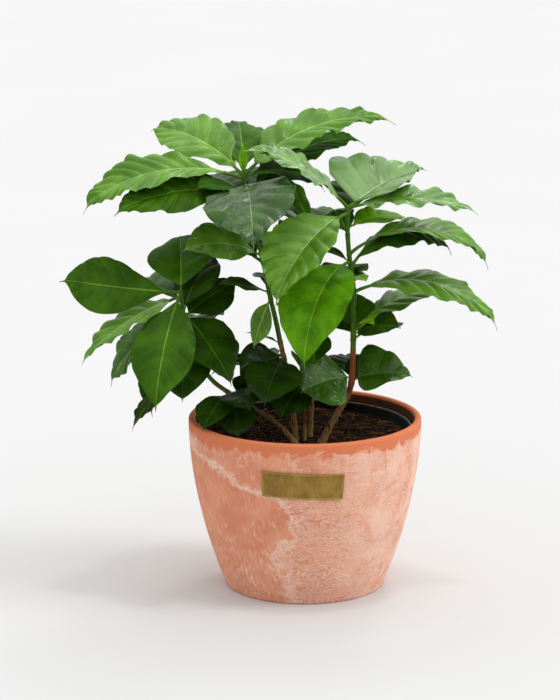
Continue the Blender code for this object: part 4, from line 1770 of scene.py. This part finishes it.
@dataclass
class Plate:
    """The bare brass plate, bent to the pot, with a plain raised border."""

    pot: Pot
    width: float = 0.0652
    height: float = 0.021
    thick: float = 0.0013
    middle: float = 0.1063
    turn: float = -0.027
    tilt: float = math.radians(-2.1)
    gap: float = 0.0004
    border: float = 0.0009
    sink: float = 0.0004
    soften_mm: float = 0.18
    sharp_from: float = math.radians(50)
    columns: int = 40
    rows: int = 12

    def build(self) -> bpy.types.Object:
        """Bend a grid to the pot, thicken it and sink its field.

        Returns:
            The piece.
        """
        shape = bmesh.new()
        bmesh.ops.create_grid(shape, x_segments=self.columns, y_segments=self.rows, size=0.5)
        wall = self.pot.radius_at(self.middle)
        for vert in shape.verts:
            across, rise = vert.co.x * self.width, vert.co.y * self.height
            level = self.middle + rise * math.cos(self.tilt) + across * math.sin(self.tilt)
            along = across * math.cos(self.tilt) - rise * math.sin(self.tilt)
            radius = self.pot.radius_at(level) + self.gap
            angle = -math.pi / 2 + self.turn + along / wall
            vert.co = (radius * math.cos(angle), radius * math.sin(angle), level)
        front = shape.faces[:]
        shape.normal_update()
        if front[0].normal.y > 0:
            bmesh.ops.reverse_faces(shape, faces=front)
        back = bmesh.ops.duplicate(shape, geom=shape.verts[:] + shape.edges[:] + front)
        behind = [item for item in back["geom"] if isinstance(item, bmesh.types.BMFace)]
        shape.normal_update()
        for vert in {vert for face in front for vert in face.verts}:
            vert.co += vert.normal * self.thick
        bmesh.ops.reverse_faces(shape, faces=behind)
        rims = [edge for edge in shape.edges if edge.is_boundary]
        bmesh.ops.bridge_loops(shape, edges=rims)
        bmesh.ops.inset_region(shape, faces=front, thickness=self.border, depth=0.0)
        bmesh.ops.inset_region(shape, faces=front, thickness=0.8 * self.sink,
                               depth=-self.sink)
        for face in front:
            face.material_index = 1
        sharp = [edge for edge in shape.edges
                 if len(edge.link_faces) == 2 and edge.calc_face_angle() > self.sharp_from]
        bmesh.ops.bevel(shape, geom=sharp, offset=self.soften_mm * MM, offset_type="OFFSET",
                        segments=2, profile=0.5, affect="EDGES", material=-1)
        finishes = (BrassFinish("rubbed_brass", "#B69650", "#94773A", 0.40),
                    BrassFinish("antiqued_brass", "#A5863F", "#7E6229", 0.46))
        return finish_piece("brass_plate", shape, [item.build() for item in finishes],
                            ("plate",))


@dataclass
class Studio:
    """Floor, lights and the camera that matches the photograph's view."""

    target: Vector = field(default_factory=lambda: Vector((-0.0203, 0.0, 0.1952)))
    distance: float = 2.30
    elevation: float = 13.0
    lens: float = 145.7
    dimmest: float = 0.54
    above: tuple[float, float, float] = (0.15, 1.0, 0.66)
    behind: tuple[float, float, float] = (-0.6, 0.8, 0.32)
    beside: tuple[float, float, float] = (-0.2, 1.0, 0.10)
    board: float = 12.0

    def build(self) -> None:
        """Set up the camera, the floor and the lights."""
        self.camera()
        self.floor()
        self.world()
        self.lights()
        bpy.context.scene.view_settings.view_transform = "Standard"

    def camera(self) -> None:
        """Make the camera."""
        data = bpy.data.cameras.new("camera")
        data.lens = self.lens
        camera = bpy.data.objects.new("camera", data)
        bpy.context.scene.collection.objects.link(camera)
        tilt = math.radians(self.elevation)
        away = Vector((0.0, -math.cos(tilt), math.sin(tilt)))
        camera.location = self.target + away * self.distance
        camera.rotation_euler = (-away).to_track_quat("-Z", "Y").to_euler()
        bpy.context.scene.camera = camera

    def floor(self) -> None:
        """Make the pale floor."""
        shape = bmesh.new()
        bmesh.ops.create_grid(shape, x_segments=1, y_segments=1, size=self.board)
        mesh = bpy.data.meshes.new("floor")
        shape.to_mesh(mesh)
        shape.free()
        # Painted board is matt, so that it takes soft shadows and no glint.
        finish = PlainFinish("white_board", "#D2D2D2", "#D1D1D1", 0.9, 400.0, 60.0, 0.0, 0.0)
        mesh.materials.append(finish.build())
        floor = bpy.data.objects.new("floor", mesh)
        bpy.context.scene.collection.objects.link(floor)

    def world(self) -> None:
        """Light the room softly: bright above, behind and at the right, dim in front.

        Each side's three numbers are where its light starts, where it is full and
        how much it adds to the dimmest light.
        """
        world = bpy.data.worlds.new("studio")
        world.use_nodes = True
        add = partial(add_node, world.node_tree)
        way = add(Kind.WAY)
        above, behind, beside = (
            add(Kind.RANGE, add(side, way), start, full, 0.0, most)
            for side, (start, full, most) in ((Kind.HEIGHT, self.above),
                                              (Kind.DEPTH, self.behind),
                                              (Kind.ACROSS, self.beside)))
        whole = add(Kind.ADD, above, add(Kind.ADD, behind, beside))
        fill_sockets(world.node_tree.nodes["Background"], {
            "Color": linear("#FFFFFF"), "Strength": add(Kind.ADD, whole, self.dimmest)})
        bpy.context.scene.world = world

    def lamp(self, name: str, towards: tuple[float, float, float], power: float,
             spread: float) -> None:
        """Make a soft light that is far away, so that it is even over the floor.

        Args:
            name: Name of the light.
            towards: Direction in which it shines.
            power: Its strength in W/m2.
            spread: Its width in degrees.
        """
        data = bpy.data.lights.new(name, "SUN")
        data.energy = power
        data.angle = math.radians(spread)
        light = bpy.data.objects.new(name, data)
        light.rotation_euler = Vector(towards).to_track_quat("-Z", "Y").to_euler()
        bpy.context.scene.collection.objects.link(light)

    def lights(self) -> None:
        """Make a broad window at the right and soft boxes overhead and behind."""
        self.lamp("window", (-0.92, 0.14, -0.74), 0.86, 24.0)
        self.lamp("overhead", (-0.10, 0.05, -1.0), 0.30, 6.0)
        self.lamp("behind", (-0.25, -0.60, -0.76), 0.26, 12.0)


def main() -> None:
    """Build every piece round the frame, in order, and set up the studio."""
    logging.basicConfig(level=logging.INFO, format="%(message)s")
    pot = Pot()
    pot.build()
    Liner().build()
    Soil().build()
    Plate(pot).build()
    finishes = LeafFinishes()
    for stem in STEMS:
        line = StemLine(stem)
        StemBark(stem, line).build()
        for mass in stem.masses:
            Foliage(mass, line, finishes).build()
    Studio().build()


if __name__ == "__main__":
    main()
